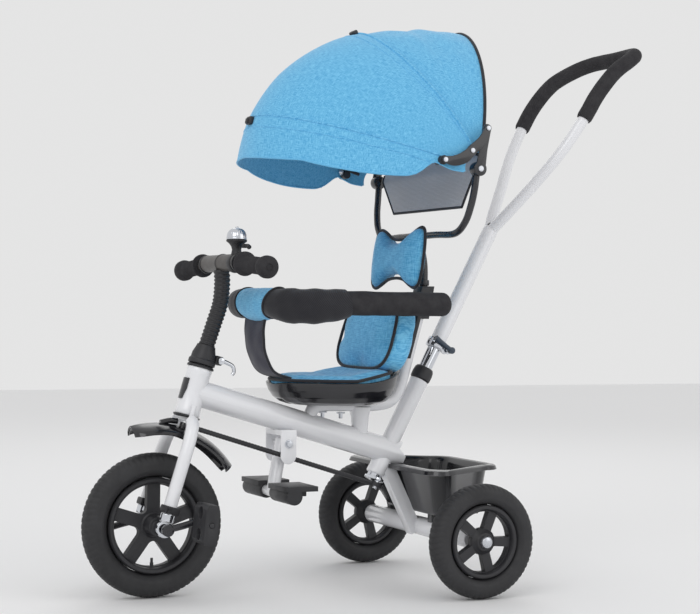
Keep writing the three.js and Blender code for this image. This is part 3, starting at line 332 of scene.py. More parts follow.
# A smooth copy of a CAD node, with its edges softened.
def refined(node, name, bevel=0.5, angle=30):
    clear()
    source = frame["nodes"][node]
    piece = source.copy()
    piece.data = source.data.copy()
    bpy.context.scene.collection.objects.link(piece)
    piece.parent = None
    for key in list(piece.keys()):
        del piece[key]
    pick(piece)
    started(name)
    bpy.ops.object.mode_set(mode="EDIT")
    bpy.ops.mesh.select_all(action="SELECT")
    bpy.ops.mesh.remove_doubles(threshold=1e-5)
    bpy.ops.mesh.dissolve_limited(angle_limit=math.radians(1))
    bpy.ops.object.mode_set(mode="OBJECT")
    return rounded(piece, bevel, 2, angle)


# Gives a finished piece its finish and its body, and hides the CAD nodes it stands for.
def finished(piece, material, body, nodes=(), angle=38):
    pick(piece)
    bpy.ops.object.shade_smooth_by_angle(angle=math.radians(angle))
    piece.data.materials.clear()
    piece.data.materials.append(material)
    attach(piece, body)
    if nodes:
        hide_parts(*nodes)
    return piece


# ---- finishes


def newMaterial(name, colour, roughness, metallic=0.0, coat=0.0, specular=0.5):
    material = bpy.data.materials.new(name)
    material.use_nodes = True
    shader = material.node_tree.nodes["Principled BSDF"]
    shader.inputs["Base Color"].default_value = (*colour, 1)
    shader.inputs["Roughness"].default_value = roughness
    shader.inputs["Metallic"].default_value = metallic
    shader.inputs["Coat Weight"].default_value = coat
    shader.inputs["Coat Roughness"].default_value = 0.12
    shader.inputs["Specular IOR Level"].default_value = specular
    return material


def addNode(material, kind, **values):
    node = material.node_tree.nodes.new(kind)
    for key, value in values.items():
        if key in node.inputs:
            node.inputs[key].default_value = value
        else:
            setattr(node, key, value)
    return node


def wire(material, source, target):
    material.node_tree.links.new(source, target)


def places(material, scale=(1, 1, 1), source="Object"):
    coordinates = addNode(material, "ShaderNodeTexCoord")
    mapping = addNode(material, "ShaderNodeMapping")
    mapping.inputs["Scale"].default_value = scale
    wire(material, coordinates.outputs[source], mapping.inputs["Vector"])
    return mapping.outputs["Vector"]


def noiseOf(material, scale, detail=3, stretch=(1, 1, 1), source="Object", roughness=0.55):
    texture = addNode(material, "ShaderNodeTexNoise", Scale=scale, Detail=detail, Roughness=roughness)
    wire(material, places(material, stretch, source), texture.inputs["Vector"])
    return texture.outputs["Fac"]


def spread(material, source, low, high, fromLow=0.3, fromHigh=0.7):
    remap = addNode(material, "ShaderNodeMapRange")
    remap.inputs["From Min"].default_value = fromLow
    remap.inputs["From Max"].default_value = fromHigh
    remap.inputs["To Min"].default_value = low
    remap.inputs["To Max"].default_value = high
    wire(material, source, remap.inputs["Value"])
    return remap.outputs["Result"]


def blended(material, factor, first, second):
    ramp = addNode(material, "ShaderNodeValToRGB")
    ramp.color_ramp.elements[0].position = 0.25
    ramp.color_ramp.elements[1].position = 0.75
    ramp.color_ramp.elements[0].color = (*first, 1)
    ramp.color_ramp.elements[1].color = (*second, 1)
    wire(material, factor, ramp.inputs["Fac"])
    return ramp.outputs["Color"]


def shaderOf(material):
    return material.node_tree.nodes["Principled BSDF"]


def bumped(material, height, strength, distance):
    bump = addNode(material, "ShaderNodeBump", Strength=strength, Distance=distance * mm)
    wire(material, height, bump.inputs["Height"])
    shader = shaderOf(material)
    if shader.inputs["Normal"].is_linked:
        earlier = shader.inputs["Normal"].links[0].from_socket
        wire(material, earlier, bump.inputs["Normal"])
    wire(material, bump.outputs["Normal"], shader.inputs["Normal"])


# Sprayed or moulded hard surface: colour drifts a little, gloss varies, and the skin has a fine relief.
def hardFinish(name, colour, drift, gloss, relief, grain, metallic=0.0, coat=0.0):
    material = newMaterial(name, colour, gloss[0], metallic, coat)
    shader = shaderOf(material)
    broad = noiseOf(material, 14, 4)
    low = [max(0, c * (1 - drift)) for c in colour]
    high = [min(1, c * (1 + drift)) for c in colour]
    wire(material, blended(material, broad, low, high), shader.inputs["Base Color"])
    wire(material, spread(material, noiseOf(material, 55, 5), *gloss), shader.inputs["Roughness"])
    bumped(material, noiseOf(material, grain, 3), 0.35, relief)
    return material


def linen(name, dark, light, source="UV", shade=1.0):
    material = newMaterial(name, light, 0.82, specular=0.25)
    shader = shaderOf(material)
    weft = noiseOf(material, 1, 3, (70, 900, 70), source)
    warp = noiseOf(material, 1, 3, (900, 70, 900 if source == "UV" else 70), source)
    upright = noiseOf(material, 1, 3, (70, 70, 900), source) if source == "Object" else warp
    threads = addNode(material, "ShaderNodeMath", operation="ADD")
    wire(material, weft if source == "UV" else upright, threads.inputs[0])
    wire(material, warp, threads.inputs[1])
    half = addNode(material, "ShaderNodeMath", operation="MULTIPLY")
    half.inputs[1].default_value = 0.5
    wire(material, threads.outputs[0], half.inputs[0])
    heather = spread(material, half.outputs[0], 0, 1, 0.36, 0.64)
    wire(material, blended(material, heather, dark, light), shader.inputs["Base Color"])
    wire(material, spread(material, half.outputs[0], 0.9, 0.74), shader.inputs["Roughness"])
    shader.inputs["Sheen Weight"].default_value = 0.25
    shader.inputs["Sheen Roughness"].default_value = 0.5
    bumped(material, half.outputs[0], 0.45, 0.5)
    bumped(material, noiseOf(material, 9, 2, source="Object"), 0.25, 4)
    return material


def twill(name, dark, light, pitch=700):
    material = newMaterial(name, dark, 0.75, specular=0.3)
    shader = shaderOf(material)
    lines = addNode(material, "ShaderNodeTexWave", Scale=pitch / 6.3, Distortion=1.5, Detail=2)
    lines.bands_direction = "DIAGONAL"
    wire(material, places(material), lines.inputs["Vector"])
    wire(material, blended(material, lines.outputs["Fac"], dark, light), shader.inputs["Base Color"])
    wire(material, spread(material, noiseOf(material, 40, 3), 0.66, 0.85), shader.inputs["Roughness"])
    shader.inputs["Sheen Weight"].default_value = 0.2
    bumped(material, lines.outputs["Fac"], 0.4, 0.3)
    return material


def netting(name, thread, hole):
    material = newMaterial(name, thread, 0.8, specular=0.3)
    shader = shaderOf(material)
    cells = addNode(material, "ShaderNodeTexVoronoi", Scale=420)
    cells.inputs["Randomness"].default_value = 0.15
    wire(material, places(material, (1, 0.2, 1)), cells.inputs["Vector"])
    share = spread(material, cells.outputs["Distance"], 0, 1, 0.25, 0.6)
    wire(material, blended(material, share, hole, thread), shader.inputs["Base Color"])
    bumped(material, cells.outputs["Distance"], 0.6, 0.4)
    bumped(material, noiseOf(material, 18, 2), 0.3, 3)
    return material


def foamFinish(name, dark, light):
    material = newMaterial(name, dark, 0.85, specular=0.3)
    shader = shaderOf(material)
    cells = addNode(material, "ShaderNodeTexVoronoi", Scale=900)
    wire(material, places(material), cells.inputs["Vector"])
    wire(material, blended(material, noiseOf(material, 60, 4), dark, light), shader.inputs["Base Color"])
    wire(material, spread(material, cells.outputs["Distance"], 0.78, 0.95), shader.inputs["Roughness"])
    bumped(material, cells.outputs["Distance"], 0.3, 0.3)
    bumped(material, noiseOf(material, 30, 3), 0.3, 1.2)
    return material


white = hardFinish("white_gloss_paint", (0.8, 0.805, 0.83), 0.02, (0.16, 0.26), 0.01, 300, coat=0.6)
blackPaint = hardFinish("black_satin_paint", (0.016, 0.016, 0.02), 0.3, (0.2, 0.34), 0.08, 700, coat=0.3)
blackPlastic = hardFinish("black_moulded_plastic", (0.02, 0.02, 0.023), 0.25, (0.4, 0.56), 0.15, 1400)
glossBlack = hardFinish(
    "black_gloss_plastic", (0.012, 0.012, 0.015), 0.3, (0.13, 0.24), 0.05, 500, coat=0.4
)
rubber = hardFinish("tyre_rubber", (0.022, 0.022, 0.024), 0.3, (0.58, 0.74), 0.3, 1100)
greySleeve = hardFinish("warm_grey_sleeve", (0.07, 0.064, 0.06), 0.15, (0.38, 0.5), 0.1, 800)
chrome = hardFinish("chrome_plate", (0.66, 0.68, 0.72), 0.05, (0.06, 0.16), 0.03, 300, metallic=1.0)
zinc = hardFinish("zinc_plated_steel", (0.6, 0.62, 0.66), 0.1, (0.22, 0.36), 0.08, 500, metallic=1.0)
leverBlue = hardFinish("blue_grey_lever", (0.04, 0.058, 0.085), 0.2, (0.3, 0.44), 0.1, 900)
blue = linen("sky_blue_linen", (0.075, 0.36, 0.66), (0.2, 0.58, 0.86))
blueBody = linen("sky_blue_linen_pads", (0.075, 0.36, 0.66), (0.2, 0.58, 0.86), "Object")
navy = twill("navy_black_webbing", (0.012, 0.012, 0.026), (0.03, 0.03, 0.055))
piping = twill("black_piping", (0.012, 0.012, 0.016), (0.03, 0.03, 0.036), 1100)
blackCloth = twill("black_sleeve_cloth", (0.012, 0.012, 0.015), (0.026, 0.026, 0.032), 900)
net = netting("light_grey_net", (0.66, 0.645, 0.655), (0.36, 0.35, 0.36))
foam = foamFinish("black_foam", (0.022, 0.021, 0.024), (0.04, 0.039, 0.042))
print("finishes made")

# ---- wheels

tyres = {
    "front": {"radius": 127, "width": 46, "depth": 42, "blocks": 72},
    "rear": {"radius": 102, "width": 42, "depth": 36, "blocks": 60},
    "squareness": 0.85,
    "grooveDepth": 1.2,
}


# A tyre with zigzag tread blocks and a raised ring on each side wall.
def tyre(name, size, place, body, node):
    middle = size["radius"] - size["depth"] / 2
    half = size["width"] / 2
    stepsEach = 6
    steps = size["blocks"] * stepsEach

    def shape(u, v):
        around = 2 * math.pi * v
        c = math.cos(around)
        s = math.sin(around)
        out = size["depth"] / 2 * math.copysign(abs(c) ** tyres["squareness"], c)
        across = half * math.copysign(abs(s) ** tyres["squareness"], s)
        share = abs(across) / half
        shift = round(3 * share) if across > 0 else 3 + round(3 * share)
        inGroove = (round(u * steps) + shift) % stepsEach < 2
        if c > 0.25 and inGroove and share > 0.1:
            out -= tyres["grooveDepth"]
        if -0.5 < c < -0.2:
            across *= 1.03
        angle = 2 * math.pi * u
        return ((middle + out) * math.cos(angle), (middle + out) * math.sin(angle), across)

    piece = surface(name, steps, 44, shape, place, True)
    return finished(piece, rubber, body, [node], 30)


rims = {
    "front": {
        "ring": [(84.6, 15), (82, 18), (77, 18), (74.5, 14), (73.5, 8)], "disc": 75, "windowReach": 72,
        "apex": 38, "hub": 34, "turn": 0
    },
    "rear": {
        "ring": [(65.7, 13), (63.4, 16), (58.5, 16), (56, 12), (55, 7)], "disc": 56.5, "windowReach": 53.5,
        "apex": 31, "hub": 17, "turn": -21
    },
    "windowHalfAngle": 26.5,
    "windowTip": 10.3,
    "webThickness": 14,
}


# A five-spoke wheel centre: an outer channel, a web with five rounded windows and a stepped hub.
def rim(name, size, place, body, node):
    half = rims["webThickness"] / 2
    web = turned(name, [(0, -half), (size["disc"], -half), (size["disc"], half), (0, half)], place, 120)
    cutters = []
    for k in range(5):
        middle = 72 * k + size["turn"]
        reach = rims["windowHalfAngle"]
        outer = circle(size["windowReach"], (0, 0), 14, middle - reach, middle + reach)
        tip = (size["apex"] * math.cos(math.radians(middle)), size["apex"] * math.sin(math.radians(middle)))
        inner = circle(rims["windowTip"], tip, 12, middle + 126, middle + 234)
        cutters.append(plate("window", outer + inner, 40, place, 0))
    drill(web, *cutters)
    rounded(web, 2, 3, 40)
    ring = size["ring"]
    channel = turned("channel", ring + [(r, -z) for r, z in reversed(ring)] + ring[:1], place, 120)
    rounded(channel, 0.8, 2, 50)
    hub = size["hub"]
    steps = [
        (0, -hub), (10, -hub), (11, 2 - hub), (15.5, 2 - hub), (17, 4 - hub), (20, -half - 2),
        (24, -half + 1)
    ]
    core = turned("core", steps + [(r, -z) for r, z in reversed(steps)], place, 64)
    rounded(core, 0.6, 2, 30)
    piece = joined(name, web, channel, core)
    return finished(piece, blackPlastic, body, [node], 34)


frontAxle = axleFrame(hub)
tyre("frontTyre", tyres["front"], frontAxle, "front_wheel", "front_tyre")
rim("frontRim", rims["front"], frontAxle, "front_wheel", "front_rim")
valve = joined(
    "frontValve",
    bar("stub", (66, 0, 0), (76, 0, 0), 3.2, frontAxle, 16, 0.4),
    bar("cap", (58, 0, 0), (68, 0, 0), 2.4, frontAxle, 16, 0.5),
)
finished(valve, blackPlastic, "front_wheel")
for sideName, side in (("left", 1), ("right", -1)):
    centre = sum(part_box(sideName + "_rear_rim"), Vector()) / 2
    place = axleFrame(centre)
    body = "rear_wheel_" + sideName
    tyre(sideName + "RearTyre", tyres["rear"], place, body, sideName + "_rear_tyre")
    rim(sideName + "RearRim", rims["rear"], place, body, sideName + "_rear_rim")
    capProfile = [(0, 24.5), (6, 24), (9.5, 22.5), (11, 20), (11.5, 17.6), (5.6, 17.6)]
    cap = turned(sideName + "HubCap", [(r, side * z) for r, z in capProfile], place, 48, 0.4)
    finished(cap, zinc, body)

crank = {"reach": 57, "turn": 14, "armRadius": 6, "pinRadius": 4.3, "outFrom": 77.5, "pedalSpan": 58}
crankPieces = [bar("spindle", (0, 0, -86), (0, 0, 86), 6, frontAxle)]
for side in (1, -1):
    angle = math.radians(crank["turn"])
    y = side * crank["reach"] * math.cos(angle)
    z = side * crank["reach"] * math.sin(angle)
    x = side * (crank["outFrom"] + 4)
    tip = side * (crank["outFrom"] + crank["pedalSpan"] + 13)
    arm = pipe(
        "arm", [(-0.6 * z * 0.1, -0.06 * y, x), (-z * 0.5, y * 0.5, x), (-z, y, x)], crank["armRadius"],
        frontAxle, 16, 24
    )
    crankPieces += [arm, bar("pin", (-z, y, x - side * 6), (-z, y, tip), crank["pinRadius"], frontAxle, 24)]
    boss = bar("boss", (0, 0, side * 76), (0, 0, side * 87), 10.5, frontAxle, 32, 1.2)
    eye = bar("eye", (-z, y, x - side * 5.5), (-z, y, x + side * 5.5), 9, frontAxle, 32, 1.2)
    crankPieces += [boss, eye]
finished(joined("crankAxle", *crankPieces), blackPaint, "front_wheel", ["crank_axle"])
for sideName in ("left", "right"):
    piece = refined("pedal_" + sideName, sideName + "Pedal", 1.4, 25)
    finished(piece, blackPlastic, "pedal_" + sideName, ["pedal_" + sideName])
print("wheels made")

# ---- steering column

fork = {"legSpread": 62, "legRadius": 11.5, "offset": 6.3, "steererRadius": 12}
forkPieces = []
for side in (1, -1):
    legLine = [
        (62, -6.3, 12), (62, -6.3, 70), (61, -5, 125), (57, -3.4, 158), (47, -1.5, 184), (36, -0.5, 191)
    ]
    leg = [(side * x, y, z) for x, y, z in legLine]
    forkPieces.append(pipe("leg", leg, fork["legRadius"], headFrame, 44, 32))
crownSides = circle(17, (38, 0), 16, -80, 80)
crownOutline = crownSides + [(-x, y) for x, y in reversed(crownSides)]
crownPlace = headFrame @ Matrix.Translation((0, 0, 192 * mm))
forkPieces.append(plate("crown", crownOutline, 8, crownPlace, 1.6))
forkPieces.append(bar("steerer", (0, 0, 190), (0, 0, 315), fork["steererRadius"], headFrame))
linkArm = plate(
    "linkArm", circle(10, (27, -1), 24, -90, 90) + [(0, 9), (0, -11)], 5,
    headFrame @ Matrix.Translation((0, 0, 190.4 * mm)), 0.8
)
linkHole = bar("linkHole", (27, -1, 160), (27, -1, 220), 4.3, headFrame, 24, 0)
forkPiece = joined("fork", *forkPieces, linkArm)
finished(drill(forkPiece, linkHole), white, "fork", ["fork"])
endPieces = []
for side in (1, -1):
    x = side * fork["legSpread"]
    ring = bar("ring", (x - side * 6, -6.3, 0), (x + side * 7, -6.3, 0), 15, headFrame, 48, 1.6)
    lip = bar("lip", (x + side * 5, -6.3, 0), (x + side * 9, -6.3, 0), 11.5, headFrame, 40, 0.8)
    neck = block("neck", (9, 19, 26), (x, -6.3, 15), headFrame, 2.5)
    sock = bar("sock", (x, -6.3, 13), (x, -6.3, 27), 12.8, headFrame, 40, 1.2)
    endPieces += [ring, lip, neck, sock]
axleHole = bar("axleHole", (-100, -6.3, 0), (100, -6.3, 0), 6.6, headFrame, 32, 0)
finished(drill(joined("forkEnds", *endPieces), axleHole), chrome, "fork")
clampPieces = []
for side in (1, -1):
    x = side * fork["legSpread"]
    clampPieces.append(block("clamp", (27, 29, 13), (x, -5, 34), headFrame, 2.4))
    for z in (31, 37):
        clampPieces.append(bar(
            "bolt", (x + side * 11, -12, z), (x + side * 16.5, -12, z), 3.1, headFrame, 6, 0.4
        ))
finished(joined("forkClamps", *clampPieces), blackPlastic, "fork")

fender = {"radius": 178.5, "half": 35, "front": -14, "rear": 56, "crown": 13, "skin": 2.6, "lip": 3.5}
fenderPlace = headFrame @ Matrix.Translation((0, -fork["offset"] * mm, 0)) @ Matrix.Rotation(math.radians(16.1), 4, "X")


def fenderShape(u, v):
    angle = math.radians(mix(fender["front"], fender["rear"], u))
    across = mix(-1, 1, v)
    nose = min(1, u / 0.12)
    taper = (1 - 0.4 * u ** 2) * (0.55 + 0.45 * math.sqrt(1 - (1 - nose) ** 2))
    tail = max(0, (u - 0.86) / 0.14)
    taper *= 0.5 + 0.5 * math.sqrt(max(0, 1 - tail * tail))
    edge = max(0, abs(across) - 0.86) / 0.14
    ridge = 1.4 * math.exp(-((across / 0.16) ** 2))
    radius = fender["radius"] - 1.5 - fender["crown"] * across * across + ridge - fender["lip"] * edge * edge
    return (across * fender["half"] * taper, radius * math.sin(angle), radius * math.cos(angle))


guard = surface("fenderSkin", 64, 36, fenderShape, fenderPlace, wall=fender["skin"])
stay = pipe("fenderStay", [(0, -44, 176), (0, -28, 184), (0, -14, 186.5)], 5, headFrame, 16, 16)
boss = bar("fenderBoss", (0, 0, 168), (0, 0, 187.4), 8, headFrame, 32, 1)
finished(joined("frontFender", guard, stay, boss), glossBlack, "fork", ["front_fender"])

stemLine = [(0, 0, 328), (0, 2, 372), (0, 3, 410), (0, -4, 446), (0, -12, 468)]
ribs = {"count": 19, "depth": 0.11}


def ribbed(t, angle, spot):
    return 1 + ribs["depth"] * (0.5 - 0.5 * math.cos(2 * math.pi * ribs["count"] * t)) - ribs["depth"] / 2


stem = pipe("stem", stemLine, 14, headFrame, 228, 32, ribbed)
finished(stem, blackPlastic, "fork", ["stem"], 50)
collarProfile = [
    (12.4, 294), (22, 294), (24.5, 295.5), (24.5, 302), (22, 305), (21.5, 314), (17.5, 326), (16.5, 330),
    (12.4, 330)
]
collar = turned("collarRing", collarProfile, headFrame, 56, 0.5)
ears = block("collarEars", (18, 14, 16), (0, 28, 310), headFrame, 2)
bolt = bar("collarBolt", (-14, 30, 310), (14, 30, 310), 4, headFrame, 24, 0.5)
finished(joined("stemCollar", collar, ears), blackPlastic, "fork", ["stem_collar"])
finished(bolt, zinc, "fork")
leverLine = [(13, 28, 311), (13, 42, 310), (13, 54, 307), (13, 59, 298), (13, 57, 292)]
lever = pipe("stemLever", leverLine, 4.2, headFrame, 32, 20, lambda t, a, p: 1 - 0.25 * t)
leverHub = bar("leverHub", (9.6, 30, 310), (17, 30, 310), 6.2, headFrame, 32, 0.8)
finished(joined("stemLever", lever, leverHub), chrome, "stem_lever", ["stem_lever"])

barPlace = headFrame @ Matrix.Translation((0, -12 * mm, 480 * mm)) @ Matrix.Rotation(math.radians(16.1), 4, "X")
handlebar = {"half": 205, "drop": 11, "radius": 11, "gripLength": 106}


def barDrop(x):
    return -handlebar["drop"] * (abs(x) / handlebar["half"]) ** 2


barLine = [(
    handlebar["half"] * t, 0, barDrop(handlebar["half"] * t)
) for t in (-1, -0.6, -0.3, 0, 0.3, 0.6, 1)]
tube = pipe("barTube", barLine, handlebar["radius"], barPlace, 60, 32)
sleeveProfile = [
    (0, -78), (14, -78), (15.5, -76), (15.5, -3), (16.4, -1.8), (16.4, 1.8), (15.5, 3), (15.5, 76),
    (14, 78), (0, 78)
]
acrossTurn = barPlace @ Matrix.Rotation(math.pi / 2, 4, "Y")
sleeve = turned("barSleeve", sleeveProfile, acrossTurn, 48, 0.4)
finished(joined("handlebar", tube, sleeve), greySleeve, "fork", ["handlebar"])
rings = []
for x in (-78, 0, 78):
    width = 5 if x else 3.4
    rings.append(bar(
        "ring", (x - width / 2, 0, barDrop(x) * 0.6), (x + width / 2, 0, barDrop(x) * 0.6), 16.9, barPlace,
        48, 0.6
    ))
finished(joined("barRings", *rings), blackPlastic, "fork")


# A grip: flange ring, ribbed barrel and a ball end with a dimple, about the line of the bar.
def grip(sideName, side):
    start = handlebar["half"] - handlebar["gripLength"]
    end = handlebar["half"] + 6
    length = end - start
    fall = math.atan2(barDrop(handlebar["half"]) - barDrop(start), length)
    place = barPlace @ Matrix.Translation((side * start * mm, 0, barDrop(start) * mm))
    place = place @ Matrix.Rotation(side * (math.pi / 2 - fall), 4, "Y")
    profile = [(11.8, 0), (20.5, 0), (21.5, 1.5), (21.5, 4.5), (18, 7), (15, 9.5)]
    grooves = 13
    barrel = length - 36
    for i in range(grooves * 4):
        z = 11 + barrel * i / (grooves * 4)
        profile.append((14.6 + 0.55 * math.sin(math.pi * i / 2), z))
    profile += [
        (15.5, length - 24), (18.4, length - 20), (19.6, length - 14), (19.4, length - 7),
        (17.5, length - 2.5), (13, length), (7, length), (5.5, length - 2), (0, length - 2.6)
    ]
    piece = turned(sideName + "Grip", profile, place, 56)
    return finished(piece, foam, "fork", ["grip_" + sideName], 40)


grip("left", 1)
grip("right", -1)

bell = {"x": 62, "domeRibs": 24}
bellPlace = barPlace @ Matrix.Translation((bell["x"] * mm, 0, barDrop(bell["x"]) * mm))
bandProfile = [(11.8, -8), (16.5, -8), (17.4, -6.5), (17.4, 6.5), (16.5, 8), (11.8, 8), (11.8, -8)]
band = turned("bellBand", bandProfile, bellPlace @ Matrix.Rotation(math.pi / 2, 4, "Y"), 48, 0.4)
neckProfile = [
    (0, 15), (10, 15), (9, 19), (8.2, 24), (9.5, 29), (13, 34), (18, 38), (18.6, 40), (18, 41.2), (0, 41.2)
]
neck = turned("bellNeck", neckProfile, bellPlace, 48, 0.3)
finished(joined("bellBody", band, neck), blackPlastic, "fork", ["bell_body"])


def domeShape(u, v):
    rise = v * math.pi / 2
    radius = 18 * math.cos(rise) ** 0.8 if v < 1 else 0
    groove = 0.5 * (0.5 - 0.5 * math.cos(bell["domeRibs"] * 2 * math.pi * u)) * math.sin(2 * rise)
    angle = 2 * math.pi * u
    return (
        (radius - groove) * math.cos(angle), (radius - groove) * math.sin(angle),
        41.5 + 17.5 * math.sin(rise) + 3
    )


dome = surface("domeSkin", 192, 14, domeShape, bellPlace, True)
domeSkirt = turned(
    "domeSkirt", [(0, 41.5), (17.4, 41.5), (18.2, 42.4), (18.2, 44), (17.8, 44.8), (0, 44.8)], bellPlace,
    64, 0.2
)
knob = turned("domeKnob", [(0, 60), (3.4, 60), (3.4, 63), (2.4, 64.2), (0, 64.5)], bellPlace, 24, 0.2)
finished(joined("bellDome", dome, domeSkirt, knob), chrome, "fork", ["bell_dome"])
thumbLine = [(15, 8, 30), (24, 8, 30), (33, 8, 29.5), (38, 8.5, 27)]
thumb = pipe("thumb", thumbLine, 3.6, bellPlace, 24, 18, lambda t, a, p: 1 + 0.35 * max(0, t - 0.6))
pivot = bar("thumbPivot", (17, 8, 26.4), (17, 8, 33.6), 5, bellPlace, 28, 0.6)
finished(joined("bellLever", thumb, pivot), blackPlastic, "bell_lever", ["bell_lever"])
print("steering made")

# ---- frame

spine = {"slope": 16.4, "half": (22, 24)}


# A straight oval bar along a frame's Z.
def ovalBar(name, low, high, half, place, sides=64):
    piece = turned(name, [(0, low), (1000, low), (1000, high), (0, high)], Matrix(), sides)
    return settle(piece, place @ Matrix.Diagonal((half[0] * mm, half[1] * mm, 1, 1)))


spineLength = (492 - 70) / math.cos(math.radians(spine["slope"]))
along = Matrix.Rotation(math.radians(-90 - spine["slope"]), 4, "X")
spinePlace = bikeFrame @ Matrix.Translation((
    0, 70 * mm, (260 + (416 - 70) * math.tan(math.radians(spine["slope"]))) * mm
)) @ along
spineBar = ovalBar("mainTube", 0, spineLength, spine["half"], spinePlace)
wedge = block("wedge", (80, 120, 60), (0, 0, 0), tilted((0, 544, 266), 40), 0)
under = block("under", (80, 160, 60), (0, 492, 193), bikeFrame, 0)
headSlot = bar("headSlot", (0, 0, 180), (0, 0, 310), 22.2, headFrame, 64, 0)
drill(spineBar, wedge, under, headSlot)
rounded(spineBar, 0.8, 2, 40)
finished(spineBar, white, "frame", ["main_tube"], 30)
headProfile = [
    (13.5, 202), (21.5, 202), (22.6, 204), (22.6, 212), (22, 214), (22, 276), (22.6, 278), (22.6, 286),
    (21.5, 288), (13.5, 288), (13.5, 202)
]
finished(turned("headTube", headProfile, headFrame, 72), white, "frame", ["head_tube"])
finished(
    turned(
        "headsetLower",
        [(13.5, 196.8), (22, 196.8), (24.4, 198.5), (24.4, 201), (13.5, 201.5), (13.5, 196.8)], headFrame,
        64, 0.3
    ),
    blackPlastic, "frame", ["headset_lower"]
)
finished(
    turned(
        "headsetUpper",
        [(13.5, 288.4), (24.4, 288.4), (24.4, 291), (22.5, 293.2), (13.5, 293.2), (13.5, 288.4)], headFrame,
        64, 0.3
    ),
    blackPlastic, "frame", ["headset_upper"]
)
badgeSpot = headFrame @ Matrix.Translation((0, 0, 246 * mm)) @ Matrix.Rotation(math.radians(-90), 4, "Z")


def badgeShape(u, v):
    angle = mix(-0.62, 0.62, u)
    height = mix(-19, 19, v)
    return (
        23.1 * math.cos(angle * (1 - 0.35 * max(0, -height / 19))),
        23.1 * math.sin(angle * (1 - 0.35 * max(0, -height / 19))), height
    )


badge = surface("headBadge", 18, 12, badgeShape, badgeSpot, wall=1)
finished(badge, blackPaint, "frame")

sleeveProfile = [
    (13.3, -40), (16, -40), (17.6, -38), (17.6, -30), (17, -28), (17, 150), (17.8, 152), (17.8, 157),
    (16.8, 158), (13.3, 158), (13.3, -40)
]
finished(turned("pushSleeve", sleeveProfile, pushFrame, 64), white, "frame", ["push_sleeve"])
collarStops = [
    (13.4, 158.5), (17.2, 158.5), (19.2, 161), (19.6, 172), (18.4, 180), (16.2, 184), (13.4, 184),
    (13.4, 158.5)
]
finished(
    turned("pushCollar", collarStops, pushFrame, 56, 0.4), blackPlastic, "frame",
    ["push_collar"]
)
strutTilt = math.degrees(math.atan2(519 - 458, 222 - 100))
strutPlace = tilted((0, (519 + 458) / 2, 161), strutTilt)
strut = block("rearStrut", (24, 24, 158), (0, 0, 2), strutPlace, 0)
strutCuts = [
    bar("axleCut", (-60, 535, 102), (60, 535, 102), 17.4, bikeFrame, 64, 0),
    bar("sleeveCut", (0, 0, -60), (0, 0, 160), 17.4, pushFrame, 64, 0),
    block("overCut", (60, 80, 60), (0, 458, 253), bikeFrame, 0),
]
drill(strut, *strutCuts)
rounded(strut, 4, 4, 50)
finished(strut, white, "frame", ["rear_strut"], 30)
axleTube = bar("axleTube", (-200, 535, 102), (200, 535, 102), 17.5, bikeFrame, 64, 1.5)
axlePin = bar("axlePin", (-249, 535, 102), (249, 535, 102), 5, bikeFrame, 32, 0.8)
finished(joined("rearAxleTube", axleTube, axlePin), white, "frame", ["rear_axle_tube"])

seatLine = [
    (0, 302, 314), (0, 310, 328), (0, 330, 333), (0, 390, 333), (0, 440, 333), (0, 470, 341), (0, 487, 366),
    (0, 497, 400), (0, 511, 450), (0, 525, 500)
]
seatBar = pipe("seatBar", seatLine, 12, bikeFrame, 80, 36)
cone = turned(
    "seatCone", [(0, 266), (15, 266), (15.5, 292), (17, 310), (21, 329), (0, 329)],
    bikeFrame @ Matrix.Translation((0, 405 * mm, 0)), 56, 0.6
)
finished(joined("seatTube", seatBar, cone), white, "frame", ["seat_tube"])
boltPieces = []
for y, z in ((328, 318), (365, 316)):
    boltPieces.append(bar("bolt", (0, y, z + 4), (0, y, z - 8), 4, bikeFrame, 6, 0.5))
    boltPieces.append(bar("washer", (0, y, z + 1), (0, y, z + 3.5), 8, bikeFrame, 32, 0.4))
finished(joined("seatBolts", *boltPieces), zinc, "frame")

basket = {
    "front": 478, "rear": 638, "frontHalf": 162, "rearHalf": 96, "top": 222, "bottom": 133, "lip": 18,
    "wall": 2.6
}


def basketRing(frontY, rearY, frontHalf, rearHalf, corner, u):
    corners = [
        (frontHalf - corner, frontY + corner, -90, 0),
        (rearHalf - corner, rearY - corner, 0, 90),
        (corner - rearHalf, rearY - corner, 90, 180),
        (corner - frontHalf, frontY + corner, 180, 270),
    ]
    spots = []
    for x, y, a, b in corners:
        spots += [Vector((
            x + corner * math.cos(math.radians(mix(a, b, i / 8))),
            y + corner * math.sin(math.radians(mix(a, b, i / 8)))
        )) for i in range(9)]
    spots.append(spots[0])
    share = u * (len(spots) - 1)
    i = min(len(spots) - 2, int(share))
    return spots[i].lerp(spots[i + 1], share - i)


def basketShape(u, v):
    b = basket
    stops = [
        (0.0, (40, 40, 60, 30, 133)),
        (0.2, (0, 0, 0, 0, 133)),
        (0.28, (-3, 3, 4, 4, 137)),
        (0.8, (-36, 17, 50, 10, 214)),
        (0.84, (-39, 20, 54, 12, 220)),
        (0.88, (-44, 24, 59, 16, 222.5)),
        (0.94, (-54, 31, 69, 23, 221.5)),
        (1.0, (-57, 33, 72, 25, 214)),
    ]
    values = [stepped(v, [(at, row[k]) for at, row in stops]) for k in range(5)]
    dFront, dRear, dWide, dBack, z = values
    corner = 22 + 12 * v
    spot = basketRing(
        517 + dFront if v > 0.2 else 517 + dFront * (1 - v / 0.2) * 1.2,
        618 + dRear if v > 0.2 else 618 - 40 * (1 - v / 0.2) * 1.2,
        108 + dWide if v > 0.2 else mix(50, 108, v / 0.2),
        84 + dBack if v > 0.2 else mix(36, 84, v / 0.2),
        min(corner, mix(6, 22, min(1, v / 0.2)) if v < 0.2 else corner),
        u,
    )
    return (spot.x, spot.y, z)


